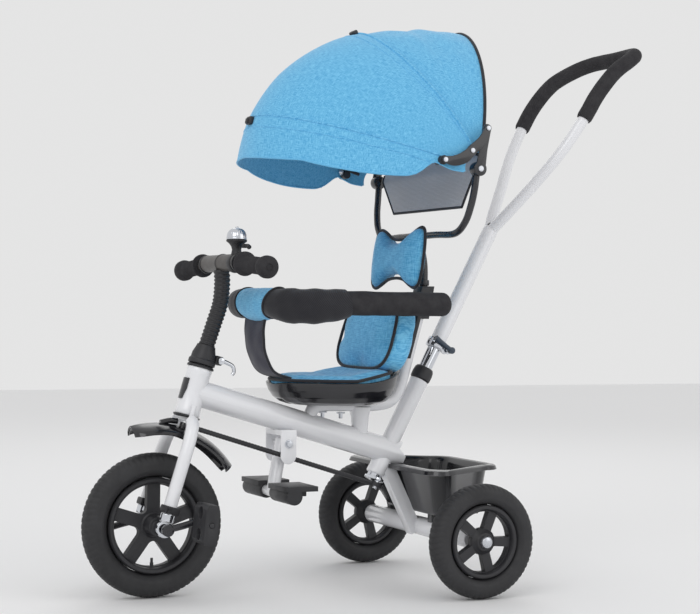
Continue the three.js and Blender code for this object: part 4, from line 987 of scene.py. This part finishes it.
shell = surface("basketShell", 180, 40, basketShape, bikeFrame, True, wall=basket["wall"])
floorPlate = block("basketFloor", (180, 84, 2.6), (0, 568, 133), bikeFrame, 0.8)
feet = []
for side in (1, -1):
    foot = block("foot", (18, 24, 30), (side * 60, 535, 121), bikeFrame, 2)
    feet.append(drill(
        foot, bar("tube", (side * 60 - 60, 535, 102), (side * 60 + 60, 535, 102), 17.8, bikeFrame, 48, 0)
    ))
finished(joined("basket", shell, floorPlate, *feet), glossBlack, "frame", ["basket"])

footFinish = {"footrestBracket": ("footrest_bracket", "frame"), "footrestBar": ("footrest_bar", "footrest")}
for name, (node, body) in footFinish.items():
    finished(refined(node, name, 0.9, 30), white, body, [node])
boltPieces = []
for side in (1, -1):
    boltPieces.append(bar("head", (side * 36, 245, 266), (side * 42, 245, 266), 6.5, bikeFrame, 6, 0.6))
    boltPieces.append(bar("washer", (side * 35.6, 245, 266), (side * 37, 245, 266), 8, bikeFrame, 32, 0.3))
finished(joined("footrestBolts", *boltPieces), zinc, "frame")
for sideName in ("left", "right"):
    node = "foot_pedal_" + sideName
    finished(refined(node, sideName + "FootPedal", 1.6, 25), blackPlastic, node, [node])
print("frame made")

# ---- seat

seat = {"centre": 345, "length": 121, "half": 116}


def seatSpot(u, scale, height, rise=0, dip=0):
    angle = 2 * math.pi * u
    c = math.cos(angle)
    s = math.sin(angle)
    x = seat["half"] * scale * math.copysign(abs(c) ** 0.8, c) * (1 - 0.22 * max(0, -s))
    y = seat["centre"] + seat["length"] * scale * math.copysign(abs(s) ** 0.8, s)
    back = max(0, (y - seat["centre"]) / seat["length"])
    nose = dip * math.exp(-((x / 34) ** 2)) * max(0, -s) ** 4
    return (x, y, height + rise * back * back - nose)


shellStops = [
    (0.0, 0, 334, 0, 0),
    (0.08, 0.5, 334, 0, 0),
    (0.16, 0.68, 336, 0, 0),
    (0.24, 0.81, 341, 3, 0),
    (0.32, 0.9, 350, 9, 1),
    (0.42, 0.96, 361, 17, 2),
    (0.52, 0.99, 371, 26, 3),
    (0.6, 1.0, 376, 28, 4),
    (0.66, 0.985, 378, 28, 4),
    (0.72, 0.96, 375, 27, 4),
    (0.86, 0.9, 357, 8, 2),
    (0.94, 0.8, 350, 0, 0),
    (1.0, 0, 350, 0, 0),
]


def shellShape(u, v):
    scale, height, rise, dip = [stepped(v, [(row[0], row[k]) for row in shellStops]) for k in (1, 2, 3, 4)]
    return seatSpot(u, scale, height, rise, dip)


seatShell = surface("seatShell", 120, 72, shellShape, bikeFrame, True)
channel = block("channel", (27, 400, 40), (0, 400, 326.5), bikeFrame, 0)
drill(seatShell, channel)
finished(rounded(seatShell, 0.8, 2, 50), glossBlack, "frame", ["seat_shell"], 45)


# Lets a closed pad swell as cloth, within a cap, and leaves a smooth mesh.
def plump(piece, voxel=5, pressure=4, cap=9, frames=20):
    pick(piece)
    remesh = piece.modifiers.new("Remesh", "REMESH")
    remesh.mode = "VOXEL"
    remesh.voxel_size = voxel * mm
    applyAll(piece)
    before = [v.co.copy() for v in piece.data.vertices]
    cloth = piece.modifiers.new("Cloth", "CLOTH")
    cloth.settings.quality = 6
    cloth.settings.use_pressure = True
    cloth.settings.uniform_pressure_force = pressure
    cloth.settings.effector_weights.gravity = 0
    cloth.collision_settings.use_collision = False
    cloth.point_cache.frame_start = 1
    cloth.point_cache.frame_end = frames
    scene = bpy.context.scene
    for step in range(1, frames + 1):
        scene.frame_set(step)
    pick(piece)
    applyAll(piece)
    scene.frame_set(1)
    for vertex, was in zip(piece.data.vertices, before):
        moved = vertex.co - was
        if moved.length > cap * mm:
            vertex.co = was + moved.normalized() * cap * mm
    smooth = piece.modifiers.new("Smooth", "SMOOTH")
    smooth.factor = 0.5
    smooth.iterations = 4
    subdivide = piece.modifiers.new("Fine", "SUBSURF")
    subdivide.levels = 1
    subdivide.render_levels = 1
    applyAll(piece)
    return piece


seatPadSize = {"back": 424, "rise": 24}
seatPadStops = [
    (0.0, 0, 353),
    (0.14, 0.76, 353),
    (0.28, 0.84, 360),
    (0.42, 0.9, 371),
    (0.5, 0.945, 378),
    (0.58, 0.95, 383),
    (0.66, 0.92, 387),
    (0.82, 0.6, 385),
    (1.0, 0, 382),
]


def seatPadShape(u, v):
    scale, height = [stepped(v, [(row[0], row[k]) for row in seatPadStops]) for k in (1, 2)]
    x, y, _ = seatSpot(u, scale, 0)
    y = min(y, seatPadSize["back"])
    back = max(0, (y - seat["centre"]) / seat["length"]) * min(1, max(0, v - 0.2) / 0.3)
    return (x, y, height + seatPadSize["rise"] * back)


seatPad = plump(surface("seatPad", 90, 40, seatPadShape, bikeFrame, True), 4, 3, 5)
finished(seatPad, blueBody, "frame", ["seat_pad"], 60)
rimLoop = [seatPadShape(k / 60, 0.55) for k in range(61)]
seatPiping = pipe("seatPiping", rimLoop, 3, bikeFrame, 200, 12)
finished(seatPiping, piping, "frame")

backPad = {"low": -26, "high": 116, "near": -47, "far": -97}


# The back pad's edge as (across, up) for a turn round it.
def backOutline(angle):
    c = math.cos(angle)
    s = math.sin(angle)
    up = 0.5 + 0.5 * math.copysign(abs(s) ** 0.5, s)
    wide = stepped(up, [(0, 106), (0.3, 110), (0.6, 108), (1, 94)])
    return (wide * math.copysign(abs(c) ** 0.42, c), mix(backPad["low"], backPad["high"], up))


def backShape(u, v):
    x, z = backOutline(2 * math.pi * u)
    middle = (backPad["low"] + backPad["high"]) / 2
    stops = [(0, 0), (0.08, 0.9), (0.16, 0.98), (0.5, 1), (0.64, 0.985), (0.72, 0.95), (0.8, 0.88), (1, 0)]
    depths = [(0, 0), (0.08, 0), (0.16, 0.1), (0.5, 0.7), (0.64, 0.9), (0.72, 0.97), (0.8, 1.02), (1, 1.1)]
    size = stepped(v, stops)
    depth = mix(backPad["near"], backPad["far"], stepped(v, depths))
    return (x * size, depth, middle + (z - middle) * size)


backCushion = plump(surface("backPad", 96, 44, backShape, backFrame, True), 5, 3, 7)
finished(backCushion, blueBody, "frame", ["back_pad"], 60)
loop = [backShape(k / 72, 0.66) for k in range(73)]
backPiping = pipe("backPiping", [(x * 1.01, y - 1, z) for x, y, z in loop], 3, backFrame, 220, 12)
finished(backPiping, piping, "frame")
board = refined("back_board", "backBoard", 2, 30)
finished(board, blackPlastic, "frame", ["back_board"])

pillow = {"thick": 19, "tilt": -7}
pillowPlace = tilted((0, 481, 606), pillow["tilt"])


# The pillow's edge: two lobes with a narrow waist, like a bow.
def pillowSpot(u):
    line = [
        (0, 37), (30, 40), (58, 52), (80, 58), (93, 51), (99, 28), (100, 0), (99, -26), (93, -47),
        (78, -55), (56, -49), (30, -39), (0, -36)
    ]
    whole = line + [(-x, y) for x, y in reversed(line[1:-1])]
    count = len(whole)
    share = u * count
    i = int(share) % count
    p = [Vector(whole[(i + k) % count]) for k in (-1, 0, 1, 2)]
    t = share - int(share)
    bend = (2 * p[0] - 5 * p[1] + 4 * p[2] - p[3]) * t * t + (3 * p[1] - p[0] - 3 * p[2] + p[3]) * t ** 3
    return 0.5 * (2 * p[1] + (p[2] - p[0]) * t + bend)


def pillowShape(u, v):
    spot = pillowSpot(u)
    turn = math.pi * v
    size = math.sin(turn) ** 0.4 if 0 < v < 1 else 0
    depth = -math.cos(turn) * pillow["thick"] * 0.8
    return (spot.x * size, depth, spot.y * size)


headPillow = plump(surface("headPillow", 96, 28, pillowShape, pillowPlace, True), 5, 3.5, 6)
finished(headPillow, blueBody, "frame", ["head_pillow"], 60)
loop = [(pillowSpot(k / 72).x * 1.0, 0, pillowSpot(k / 72).y * 1.0) for k in range(73)]
pillowPiping = pipe("pillowPiping", loop, 3, pillowPlace, 220, 12)
finished(pillowPiping, piping, "frame")
print("seat made")

# ---- guard bar

guardRail = {
    "half": 145, "front": 197, "rear": 490, "corner": 75, "height": 521, "radius": 21.5, "cover": 62
}
g = guardRail
railHalf = [
    (g["half"], g["rear"], g["height"]),
    (g["half"], 380, g["height"]),
    (g["half"], g["front"] + g["corner"], g["height"]),
    (g["half"] - 0.134 * g["corner"], g["front"] + g["corner"] / 2, g["height"]),
    (g["half"] - g["corner"] / 2, g["front"] + 0.134 * g["corner"], g["height"]),
    (g["half"] - g["corner"], g["front"], g["height"]),
    (0, g["front"] - 2, g["height"]),
]
railLine = mirrorLine(railHalf)
railPoints = smoothLine(railLine, 240)


def railEnd(t):
    edge = min(t, 1 - t) / 0.018
    return math.sqrt(max(0.0, 1 - max(0, 1 - edge) ** 2)) if edge < 1 else 1


def railGirth(t, angle, spot):
    wrinkle = noise.noise(Vector((spot.x / 26, spot.y / 26, angle * 0.8)))
    return railEnd(t) * (1 + 0.035 * wrinkle)


rail = pipe(
    "guardFoam", [(x, y + (22 if abs(x) > 144 and y > 480 else 0), z) for x, y, z in railLine], g["radius"],
    bikeFrame, 260, 40, railGirth
)
finished(rail, foam, "frame", ["guard_foam"], 60)


railLength = sum((a - b).length for a, b in zip(railPoints, railPoints[1:]))


# Where the rail is, and its heading, at a distance from its middle towards the rider's left.
def railSpot(distance):
    share = (0.5 - distance / railLength) * (len(railPoints) - 1)
    i = max(0, min(len(railPoints) - 2, int(share)))
    ahead = (railPoints[min(len(railPoints) - 1, i + 2)] - railPoints[max(0, i - 1)]).normalized()
    return railPoints[i].lerp(railPoints[i + 1], share - i), ahead


# A sleeve of cloth round a stretch of the rail, hanging a little under it, with the end at an angle.
def railSleeve(name, start, end, grow, wrinkle, sag, slant, material, nodes=()):
    long = abs(end - start)

    def shape(u, v):
        angle = 2 * math.pi * u
        low = 0.5 - 0.5 * math.cos(angle)
        centre, ahead = railSpot(mix(start, end, v) - slant * low * v)
        up = Vector((0, 0, 1))
        across = ahead.cross(up).normalized()
        bump = noise.noise(Vector((centre.x / 17, centre.y / 17, 1.2 * math.sin(angle) + 4))) * wrinkle
        hang = sag * math.sin(math.pi * min(1, max(0, v))) ** 0.7 * max(0, -math.cos(angle)) ** 2
        size = g["radius"] + grow + bump + hang
        return centre + (across * math.sin(angle) + up * math.cos(angle)) * size

    piece = surface(name, 72, 64, shape, bikeFrame, True, wall=1.6, uvSize=(155, long))
    finished(piece, material, "frame", nodes, 60)
    return piece


# Bound edge of a sleeve, as a soft ring round the rail.
def railBinding(name, distance, grow, slant, sag=0):
    def spot(k):
        angle = 2 * math.pi * k / 48
        low = 0.5 - 0.5 * math.cos(angle)
        centre, ahead = railSpot(distance - slant * low)
        across = ahead.cross(Vector((0, 0, 1))).normalized()
        size = g["radius"] + grow + sag * max(0, -math.cos(angle)) ** 2
        return centre + (across * math.sin(angle) + Vector((0, 0, 1)) * math.cos(angle)) * size

    piece = pipe(name, [spot(k) for k in range(49)], 2.3, bikeFrame, 120, 12)
    finished(piece, piping, "frame")


cover = {"far": -44, "near": 88, "slant": 24, "hang": 9}
railSleeve(
    "guardCover", cover["far"], cover["near"], 3.4, 0.7, cover["hang"], cover["slant"], blue,
    ["guard_cover"]
)
railSleeve("guardSleeveNear", cover["near"] - 26, 214, 2.2, 1.6, 13, -10, blackCloth)
railSleeve("guardSleeveFar", cover["far"] + 6, -130, 2.2, 1.2, 5, 0, blackCloth)
railBinding("coverBindingNear", cover["near"], 4.2, cover["slant"], 2)
railBinding("coverBindingFar", cover["far"], 4.2, 0, 2)

strap = {
    "line": [(0, 192, 492), (0, 190, 462), (0, 197, 425), (0, 214, 396), (0, 250, 383)], "halfTop": 43,
    "halfLow": 34
}
strapPoints = smoothLine(strap["line"], 60)


def strapShape(u, v):
    spot = strapPoints[round(v * 60)]
    half = mix(strap["halfTop"], strap["halfLow"], v)
    across = mix(-1, 1, u)
    ripple = 2.2 * noise.noise(Vector((across * 1.1, v * 4, 3))) * math.sin(math.pi * min(1, v + 0.2))
    cup = 3.5 * (1 - across * across) * math.sin(math.pi * v)
    return (across * half, spot.y - cup + ripple, spot.z)


crotchStrap = surface("crotchStrap", 36, 60, strapShape, bikeFrame, wall=4.4, uvSize=(77, 168))
finished(rounded(crotchStrap, 1.2, 2, 50), navy, "frame", ["crotch_strap"], 60)
for side in (1, -1):
    line = [(strapShape(0.5 + side * 0.5, k / 20)) for k in range(21)]
    edge = pipe("strapEdge" + ("Left" if side > 0 else "Right"), line, 2.7, bikeFrame, 70, 12)
    finished(edge, piping, "frame")
socket = refined("canopy_socket", "canopySocket", 1.4, 30)
finished(socket, blackPlastic, "frame", ["canopy_socket"])
print("guard bar made")

# ---- canopy

hood = {
    "pivot": (537, 765),
    "frontHalf": 203,
    "rearHalf": 197,
    "lowEdge": [
        (0, 2.6), (0.4, 1.1), (0.6, -2.4), (0.8, -6.5), (0.85, -7), (0.875, -2), (0.895, 5), (0.94, 2),
        (1, -12)
    ],
    "lowerSeam": [(0, 11.2), (0.4, 10.6), (0.6, 10), (0.8, 8), (0.9, 4)],
    "frontReach": [(-12, 376), (-4, 374), (14, 367), (30, 346), (45, 321), (60, 297), (74, 292)],
    "frontFullness": [(-4, 2.4), (14, 2), (60, 1.75), (74, 1.72)],
    "rearReach": [(60, 294), (80, 276), (103, 282)],
    "rearFullness": [(60, 1.7), (103, 1.8)],
    "frontFlat": (0.93, 0.42),
    "frontArea": 0.19,
    "rearArea": 0.1,
    "rearFlat": (0.78, 0.24),
}


def bowSpot(angle, s, reach, half, fullness, least=30):
    limit = math.acos((least / reach) ** (fullness / 2))
    turn = s * limit
    x = half * math.copysign(abs(math.sin(turn)) ** (2 / fullness), turn)
    out = reach * math.cos(turn) ** (2 / fullness)
    tilt = math.radians(angle)
    return Vector((x, hood["pivot"][0] - out * math.cos(tilt), hood["pivot"][1] + out * math.sin(tilt)))


def midSeam(s):
    return 60 + 5 * s * s + 7 * abs(s) ** 6


def frontSpot(angle, s, lift=0):
    soft = noise.noise(Vector((s * 2.4, angle / 26, 1))) * 3.2 * math.cos(s * math.pi / 2)
    reach = stepped(angle, hood["frontReach"]) + lift + soft * max(
        0, min(1, (angle - 16) / 14, (58 - angle) / 12)
    )
    return bowSpot(angle, s, reach, hood["frontHalf"] + lift, stepped(angle, hood["frontFullness"]))


def rearSpot(angle, s, lift=0):
    wrinkle = noise.noise(Vector((s * 5, angle / 9, 6))) * 3.6 + noise.noise(Vector((s * 11, angle / 30, 2))) * 1.8
    fade = max(0, min(1, (angle - 64) / 10, (101 - angle) / 8))
    reach = stepped(angle, hood["rearReach"]) + lift + wrinkle * fade
    return bowSpot(angle, s, reach, hood["rearHalf"] + lift, stepped(angle, hood["rearFullness"]))


def frontHoodShape(u, v):
    s = mix(-1, 1, u)
    low = stepped(abs(s), hood["lowEdge"])
    return frontSpot(mix(low, midSeam(s), v), s)


def rearHoodShape(u, v):
    s = mix(-1, 1, u)
    return rearSpot(mix(midSeam(s) - 1.5, 103, v), s, -1.6)


frontHood = surface("canopyFront", 200, 90, frontHoodShape, bikeFrame, wall=1.8, uvSize=(930, 420))
finished(frontHood, blue, "canopy_front", ["canopy_front"], 60)
rearHood = surface("canopyRear", 180, 60, rearHoodShape, bikeFrame, wall=1.8, uvSize=(780, 240))
finished(rearHood, blue, "frame", ["canopy_rear"], 60)


# A line sewn or bound on the hood: a tube at spot(s) for each side-to-side share s.
def hoodLine(name, spot, radius, reach, material, body, low=None):
    line = [spot(mix(low if low is not None else -reach, reach, k / 60)) for k in range(61)]
    piece = pipe(name, line, radius, bikeFrame, 240, 10)
    finished(piece, material, body)
    return piece


hoodLine(
    "hemFront", lambda s: frontSpot(stepped(abs(s), hood["lowEdge"]), s), 1.9, 0.995, blue, "canopy_front",
)
hoodLine(
    "bandSeamLow", lambda s: frontSpot(stepped(abs(s), hood["lowerSeam"]), s, 1.0), 0.9, 0.9, blueBody,
    "canopy_front"
)
hoodLine(
    "bandSeamHigh", lambda s: frontSpot(14.5, s, 1.2), 1.6, 0.97, blueBody, "canopy_front"
)
hoodLine(
    "ridgeSeam", lambda s: frontSpot(midSeam(s), s, 0.8), 2.4, 0.985, blueBody, "canopy_front",
)
hoodLine(
    "ridgeStitch", lambda s: frontSpot(midSeam(s) - 4.2, s, 1.0), 0.8, 0.96, blueBody, "canopy_front",
)
hoodLine("rearBinding", lambda s: rearSpot(103, s, 0.6), 3, 0.99, piping, "frame")

frontArch = pipe(
    "frontBow", [bowSpot(16, mix(-1, 1, k / 40), 355, 190, 2, 50) for k in range(41)], 3, bikeFrame, 140, 14
)
bowEnds = []
for side in (1, -1):
    bowEnds.append(bar("bowEnd", (side * 184, 461, 777), (side * 210, 461, 777), 8, bikeFrame, 32, 0.8))
finished(
    joined("canopyFrontBow", frontArch, *bowEnds), blackPlastic, "canopy_front",
    ["canopy_front_bow"]
)
rearArch = pipe(
    "canopyRearBow", [bowSpot(100, mix(-1, 1, k / 40), 273, 187, 1.8, 26) for k in range(41)], 3, bikeFrame,
    140, 14
)
finished(rearArch, blackPlastic, "frame", ["canopy_rear_bow"])
clipSpots = {"Front": (13, 0.0, (20, 9, 15), -13), "Top": (59, 0.0, (20, 11, 8), 30)}
for name, (angle, s, size, lean) in clipSpots.items():
    spot = frontSpot(angle, s, 4)
    place = tilted(spot, lean)
    base = block("base", size, (0, 0, 0), place, 3)
    tongue = block("tongue", (9, 5, 10), (0, -5, -2), place, 1.6)
    finished(joined("canopyClip" + name, base, tongue), blackPlastic, "canopy_front")
for side in (1, -1):
    sideName = "left" if side > 0 else "right"
    snap = turned(
        sideName + "Snap", [(0, 4), (4, 3.6), (6.5, 2), (7, 0), (0, 0)],
        axleFrame(bikeFrame @ (Vector((side * 190, 452, 783)) * mm)), 32, 0.2
    )
    finished(snap, zinc, "canopy_front")

stretcher = {"inside": 207.4, "play": 6, "rear": (550, 838), "middle": (516, 796), "front": (461, 777)}
for side in (1, -1):
    sideName = "left" if side > 0 else "right"
    inner = side * (stretcher["inside"] + 1.5)
    outer = side * (stretcher["inside"] + 4.9)
    rearOutline = aroundLine([stretcher["rear"], (538, 815), stretcher["middle"]], [6.5, 9, 9.5])
    rearArm = plate("stretcherRear_" + sideName, rearOutline, 3, sideFrame(inner), 0.7)
    opening = bar(
        "opening", (side * 190, 516, 796), (side * 230, 516, 796), stretcher["play"], bikeFrame, 40, 0
    )
    finished(
        drill(rearArm, opening), glossBlack, "stretcher_rear_" + sideName,
        ["stretcher_rear_" + sideName]
    )
    frontOutline = aroundLine(
        [stretcher["front"], (480, 776), (500, 783), stretcher["middle"]], [6.5, 9.5, 10.5, 9]
    )
    frontArm = plate("stretcherFront_" + sideName, frontOutline, 3, sideFrame(outer), 0.7)
    pin = bar("pin", (side * 207.4, 516, 796), (outer, 516, 796), 2.5, bikeFrame, 24, 0)
    finished(
        joined("stretcherFront_" + sideName, frontArm, pin), glossBlack, "stretcher_front_" + sideName,
        ["stretcher_front_" + sideName]
    )
    for label, (y, z), body in (
        ("Rear", stretcher["rear"], "stretcher_rear_" + sideName),
        ("Middle", stretcher["middle"], "stretcher_front_" + sideName),
        ("Front", stretcher["front"], "stretcher_front_" + sideName),
    ):
        start = inner + side * 1.2 if label == "Rear" else outer + side * 1.2
        face = bar(
            sideName + "Rivet" + label, (start, y, z), (start + side * 2.4, y, z), 4.6, bikeFrame, 32, 1.0
        )
        finished(face, zinc, body)

frameHalf = [
    (193, 537, 765), (191, 534, 730), (186, 530, 700), (172, 526, 670), (141, 523, 651), (70, 523, 651),
    (0, 523, 651)
]
hoop = pipe("hoop", mirrorLine(frameHalf), 6.5, bikeFrame, 160, 24)
post = pipe("post", [(0, 536, 532), (0, 536, 590), (0, 530, 625), (0, 523, 651)], 8, bikeFrame, 40, 28)
sidePieces = []
for side in (1, -1):
    sidePieces.append(bar("boss", (side * 188, 537, 765), (side * 206.6, 537, 765), 13, bikeFrame, 48, 1.5))
    outline = aroundLine([(537, 765), (543, 802), (550, 838)], [10, 8, 8])
    sidePieces.append(plate("bracket", outline, 2.8, sideFrame(side * 205.4), 0.6))
collar = bar("postCollar", (0, 536, 557), (0, 536, 568), 11, bikeFrame, 40, 1.5)
finished(
    joined("canopyFrame", hoop, post, collar, *sidePieces), blackPaint, "frame",
    ["canopy_frame"]
)
for side in (1, -1):
    rivet = bar(
        ("left" if side > 0 else "right") + "PivotRivet", (side * 206.4, 537, 765),
        (side * 209.6, 537, 765), 5.5, bikeFrame, 36, 1.2
    )
    finished(rivet, zinc, "frame")

netPanel = {"low": 700, "high": 1024, "lean": 14.5, "flat": (0.35, 0.33)}


def netShape(u, v):
    z = mix(netPanel["low"], netPanel["high"], v)
    over = max(0, z - 765)
    bowHalf = 181 * max(0.02, 1 - (over / 268) ** 1.8) ** (1 / 1.8)
    half = bowHalf if z > 765 else mix(134, 181, (z - netPanel["low"]) / 65)
    s = mix(-1, 1, u)
    fold = 4 * noise.noise(Vector((s * 3, v * 2.2, 8))) * math.sin(math.pi * min(1, max(0, v * 1.1)))
    sag = -7 * (1 - s * s) * math.sin(math.pi * v)
    return (half * s, 541 + over * math.tan(math.radians(netPanel["lean"])) + fold + sag, z)


netCloth = surface("meshPanel", 80, 70, netShape, bikeFrame, wall=1.2, uvSize=(360, 330))
finished(netCloth, net, "frame", ["mesh_panel"], 60)
netLow = pipe("meshHem", [netShape(k / 24, 0) for k in range(25)], 2.6, bikeFrame, 100, 10)
finished(netLow, piping, "frame")
for side in (1, -1):
    edge = pipe(
        "meshEdge_" + ("left" if side > 0 else "right"),
        [netShape(0.5 + side * 0.5, k / 24 * 0.24) for k in range(25)], 2.4, bikeFrame, 60, 10
    )
    finished(edge, piping, "frame")
print("canopy made")

# ---- push bar

pushBar = {"shaft": 12.8, "handle": 11, "foam": 15, "foamFrom": 737}
shaft = bar("shaft", (0, 0, -52), (0, 0, 330), pushBar["shaft"], pushFrame, 56, 0.6)
crankPlace = pushFrame @ Matrix.Translation((0, 0, -49.5 * mm))
crankPlate = plate(
    "crankPlate",
    circle(10, (27, -1), 24, -90, 90) + [(0, 14)] + circle(16, (0, 0), 20, 90, 270) + [(0, -15)], 5,
    crankPlace, 0.9
)
crankPin = bar("crankPin", (27, -1, -68), (27, -1, -50), 4, pushFrame, 32, 0.5)
finished(joined("pushShaft", shaft, crankPlate, crankPin), chrome, "push_shaft", ["push_shaft"])
tubeProfile = [
    (13.4, 226), (15.2, 226), (15.6, 227.5), (15.6, 231), (15, 232.5), (15, 484), (13.5, 489), (0, 490),
    (0, 450), (13.4, 450), (13.4, 226)
]
tube = turned("tube", tubeProfile, pushFrame, 64)
handleHalf = [
    (3, 0, 484), (26, 4, 522), (60, 12, 590), (95, 18, 666), (111, 22, 737), (113, 26, 796), (111, 40, 854),
    (102, 62, 895), (82, 80, 922), (48, 89, 932), (0, 91, 933)
]
handleLine = mirrorLine(handleHalf)
loop = pipe("loop", handleLine, pushBar["handle"], pushFrame, 260, 32)
finished(joined("pushTube", tube, loop), white, "push_upper", ["push_tube"])
handlePoints = smoothLine(handleLine, 400)
foamLine = [p for p in handlePoints if p.z >= pushBar["foamFrom"]]


def foamGirth(t, angle, spot):
    edge = min(t, 1 - t) / 0.008
    return (0.9 + 0.1 * min(1, edge)) * (1 + 0.012 * noise.noise(Vector((spot.x / 14, spot.z / 14, angle))))


handleFoam = pipe(
    "handleFoam", [tuple(p) for p in foamLine[::8]] + [tuple(foamLine[-1])], pushBar["foam"], pushFrame,
    280, 36, foamGirth
)
finished(handleFoam, foam, "push_upper", ["handle_foam"], 60)
plug = turned(
    "tubePlug", [(0, 491), (9, 491), (10.5, 493), (9, 497), (5, 499.5), (0, 500)], pushFrame, 40, 0.3
)
hole = bar("tubeMark", (0, 14.2, 470), (0, 15.5, 470), 3.4, pushFrame, 24, 0.3)
finished(joined("pushPlugs", plug, hole), blackPlastic, "push_upper")

bandProfile = [
    (15.9, 226.8), (18.6, 226.8), (19, 227.6), (19, 243), (18.6, 243.8), (15.9, 243.8), (15.9, 226.8)
]
band = turned("band", bandProfile, pushFrame, 64, 0.3)
ears = []
for side in (1, -1):
    earPlace = pushFrame @ Matrix.Translation((side * 7 * mm, 0, 0)) @ Matrix.Rotation(math.pi / 2, 4, "Y")
    outline = [(-243.4, 15), (-227.4, 15), (-227.4, 27), (-230, 31), (-240.8, 31), (-243.4, 27)]
    ears.append(plate("ear", outline, 3, earPlace, 0.8))
boltBody = bar("boltBody", (-16, 24, 235), (14, 24, 235), 4, pushFrame, 24, 0.6)
nut = bar("nut", (-15.5, 24, 235), (-9, 24, 235), 6.6, pushFrame, 6, 0.7)
finished(joined("clampBand", band, *ears, boltBody, nut), chrome, "push_upper", ["clamp_band"])
leverLine = [(22, 27, 235), (22, 10, 236), (22, -6, 238), (22, -18, 240)]
leverArm = pipe("leverArm", leverLine, 4.6, pushFrame, 40, 20, lambda t, a, p: 0.9 + 0.35 * t)
leverHub = bar("leverHub", (15.6, 24.3, 235), (25.5, 24.3, 235), 6.4, pushFrame, 36, 1)
finished(joined("clampLever", leverArm, leverHub), leverBlue, "clamp_lever", ["clamp_lever"])

link = {"radius": 4.4, "ribs": 60, "short": 9}
fromFront = headFrame @ (Vector((27, -1, 182.7)) * mm)
toRear = pushFrame @ (Vector((27, -1, -60)) * mm)
toEdge = toRear + (fromFront - toRear).normalized() * link["short"] * mm
linkLine = [tuple(fromFront / mm), tuple((fromFront + toEdge) / 2 / mm), tuple(toEdge / mm)]


def linkGirth(t, angle, spot):
    return 1 + (0.05 * math.cos(2 * math.pi * link["ribs"] * t) if 0.04 < t < 0.93 else 0)


linkBar = pipe("linkBar", linkLine, link["radius"], Matrix(), 480, 20, linkGirth)
frontEye = bar("frontEye", (27, -1, 178.3), (27, -1, 187.5), 7.5, headFrame, 40, 0.8)
frontPin = bar("frontPin", (27, -1, 183), (27, -1, 195), 3.9, headFrame, 28, 0.3)
rearEye = bar("rearEye", (27, -1, -64), (27, -1, -56.2), 12, pushFrame, 48, 1)
rearHole = bar("rearHole", (27, -1, -80), (27, -1, -40), 7, pushFrame, 40, 0)
rearEye = drill(rearEye, rearHole)
finished(
    joined("linkRod", linkBar, frontEye, frontPin, rearEye), blackPlastic, "link_rod",
    ["link_rod"]
)
print("push bar made")

# ---- floor, lights and camera

studio = {"floor": (0.86, 0.86, 0.865), "key": 30, "fill": 12, "rim": 10, "world": 0.78}
clear()
bpy.ops.mesh.primitive_plane_add(size=14, location=(0, 0, -0.0005))
floor = started("floor")
floorMaterial = newMaterial("pale_floor", studio["floor"], 0.7, specular=0.2)
floor.data.materials.append(floorMaterial)
bpy.context.scene.view_settings.view_transform = "Standard"
world = bpy.data.worlds.new("studioWorld")
bpy.context.scene.world = world
world.use_nodes = True
world.node_tree.nodes["Background"].inputs["Color"].default_value = (1, 1, 1, 1)
world.node_tree.nodes["Background"].inputs["Strength"].default_value = studio["world"]
lights = {
    "key": ((2.2, -2.6, 2.9), 2.4, studio["key"]),
    "fill": ((2.6, 1.8, 1.6), 2.2, studio["fill"]),
    "rim": ((-2.4, 1.2, 2.6), 2.0, studio["rim"]),
}
for name, (spot, size, power) in lights.items():
    lamp = bpy.data.lights.new(name, "AREA")
    lamp.size = size
    lamp.energy = power
    holder = bpy.data.objects.new(name, lamp)
    bpy.context.scene.collection.objects.link(holder)
    holder.location = spot
    holder.rotation_euler = (Vector((0, 0, 0.45)) - Vector(spot)).to_track_quat("-Z", "Y").to_euler()

cameraSpot = {
    "azimuth": 64.0, "elevation": -0.19, "roll": 0.77, "lens": 84.7, "place": (2.752, -1.3927, 0.510),
    "shift": (0.00143, -0.00429)
}
azimuth = math.radians(cameraSpot["azimuth"])
elevation = math.radians(cameraSpot["elevation"])
roll = math.radians(cameraSpot["roll"])
back = Vector((
    math.sin(azimuth) * math.cos(elevation), -math.cos(azimuth) * math.cos(elevation), math.sin(elevation)
))
right = Vector((math.cos(azimuth), math.sin(azimuth), 0))
up = back.cross(right)
xAxis = math.cos(roll) * right + math.sin(roll) * up
yAxis = -math.sin(roll) * right + math.cos(roll) * up
turn = Matrix((xAxis, yAxis, back)).transposed().to_4x4()
lens = bpy.data.cameras.new("camera")
lens.lens = cameraSpot["lens"]
lens.sensor_width = 36
lens.shift_x, lens.shift_y = cameraSpot["shift"]
camera = bpy.data.objects.new("camera", lens)
bpy.context.scene.collection.objects.link(camera)
camera.matrix_world = Matrix.Translation(cameraSpot["place"]) @ turn
bpy.context.scene.camera = camera
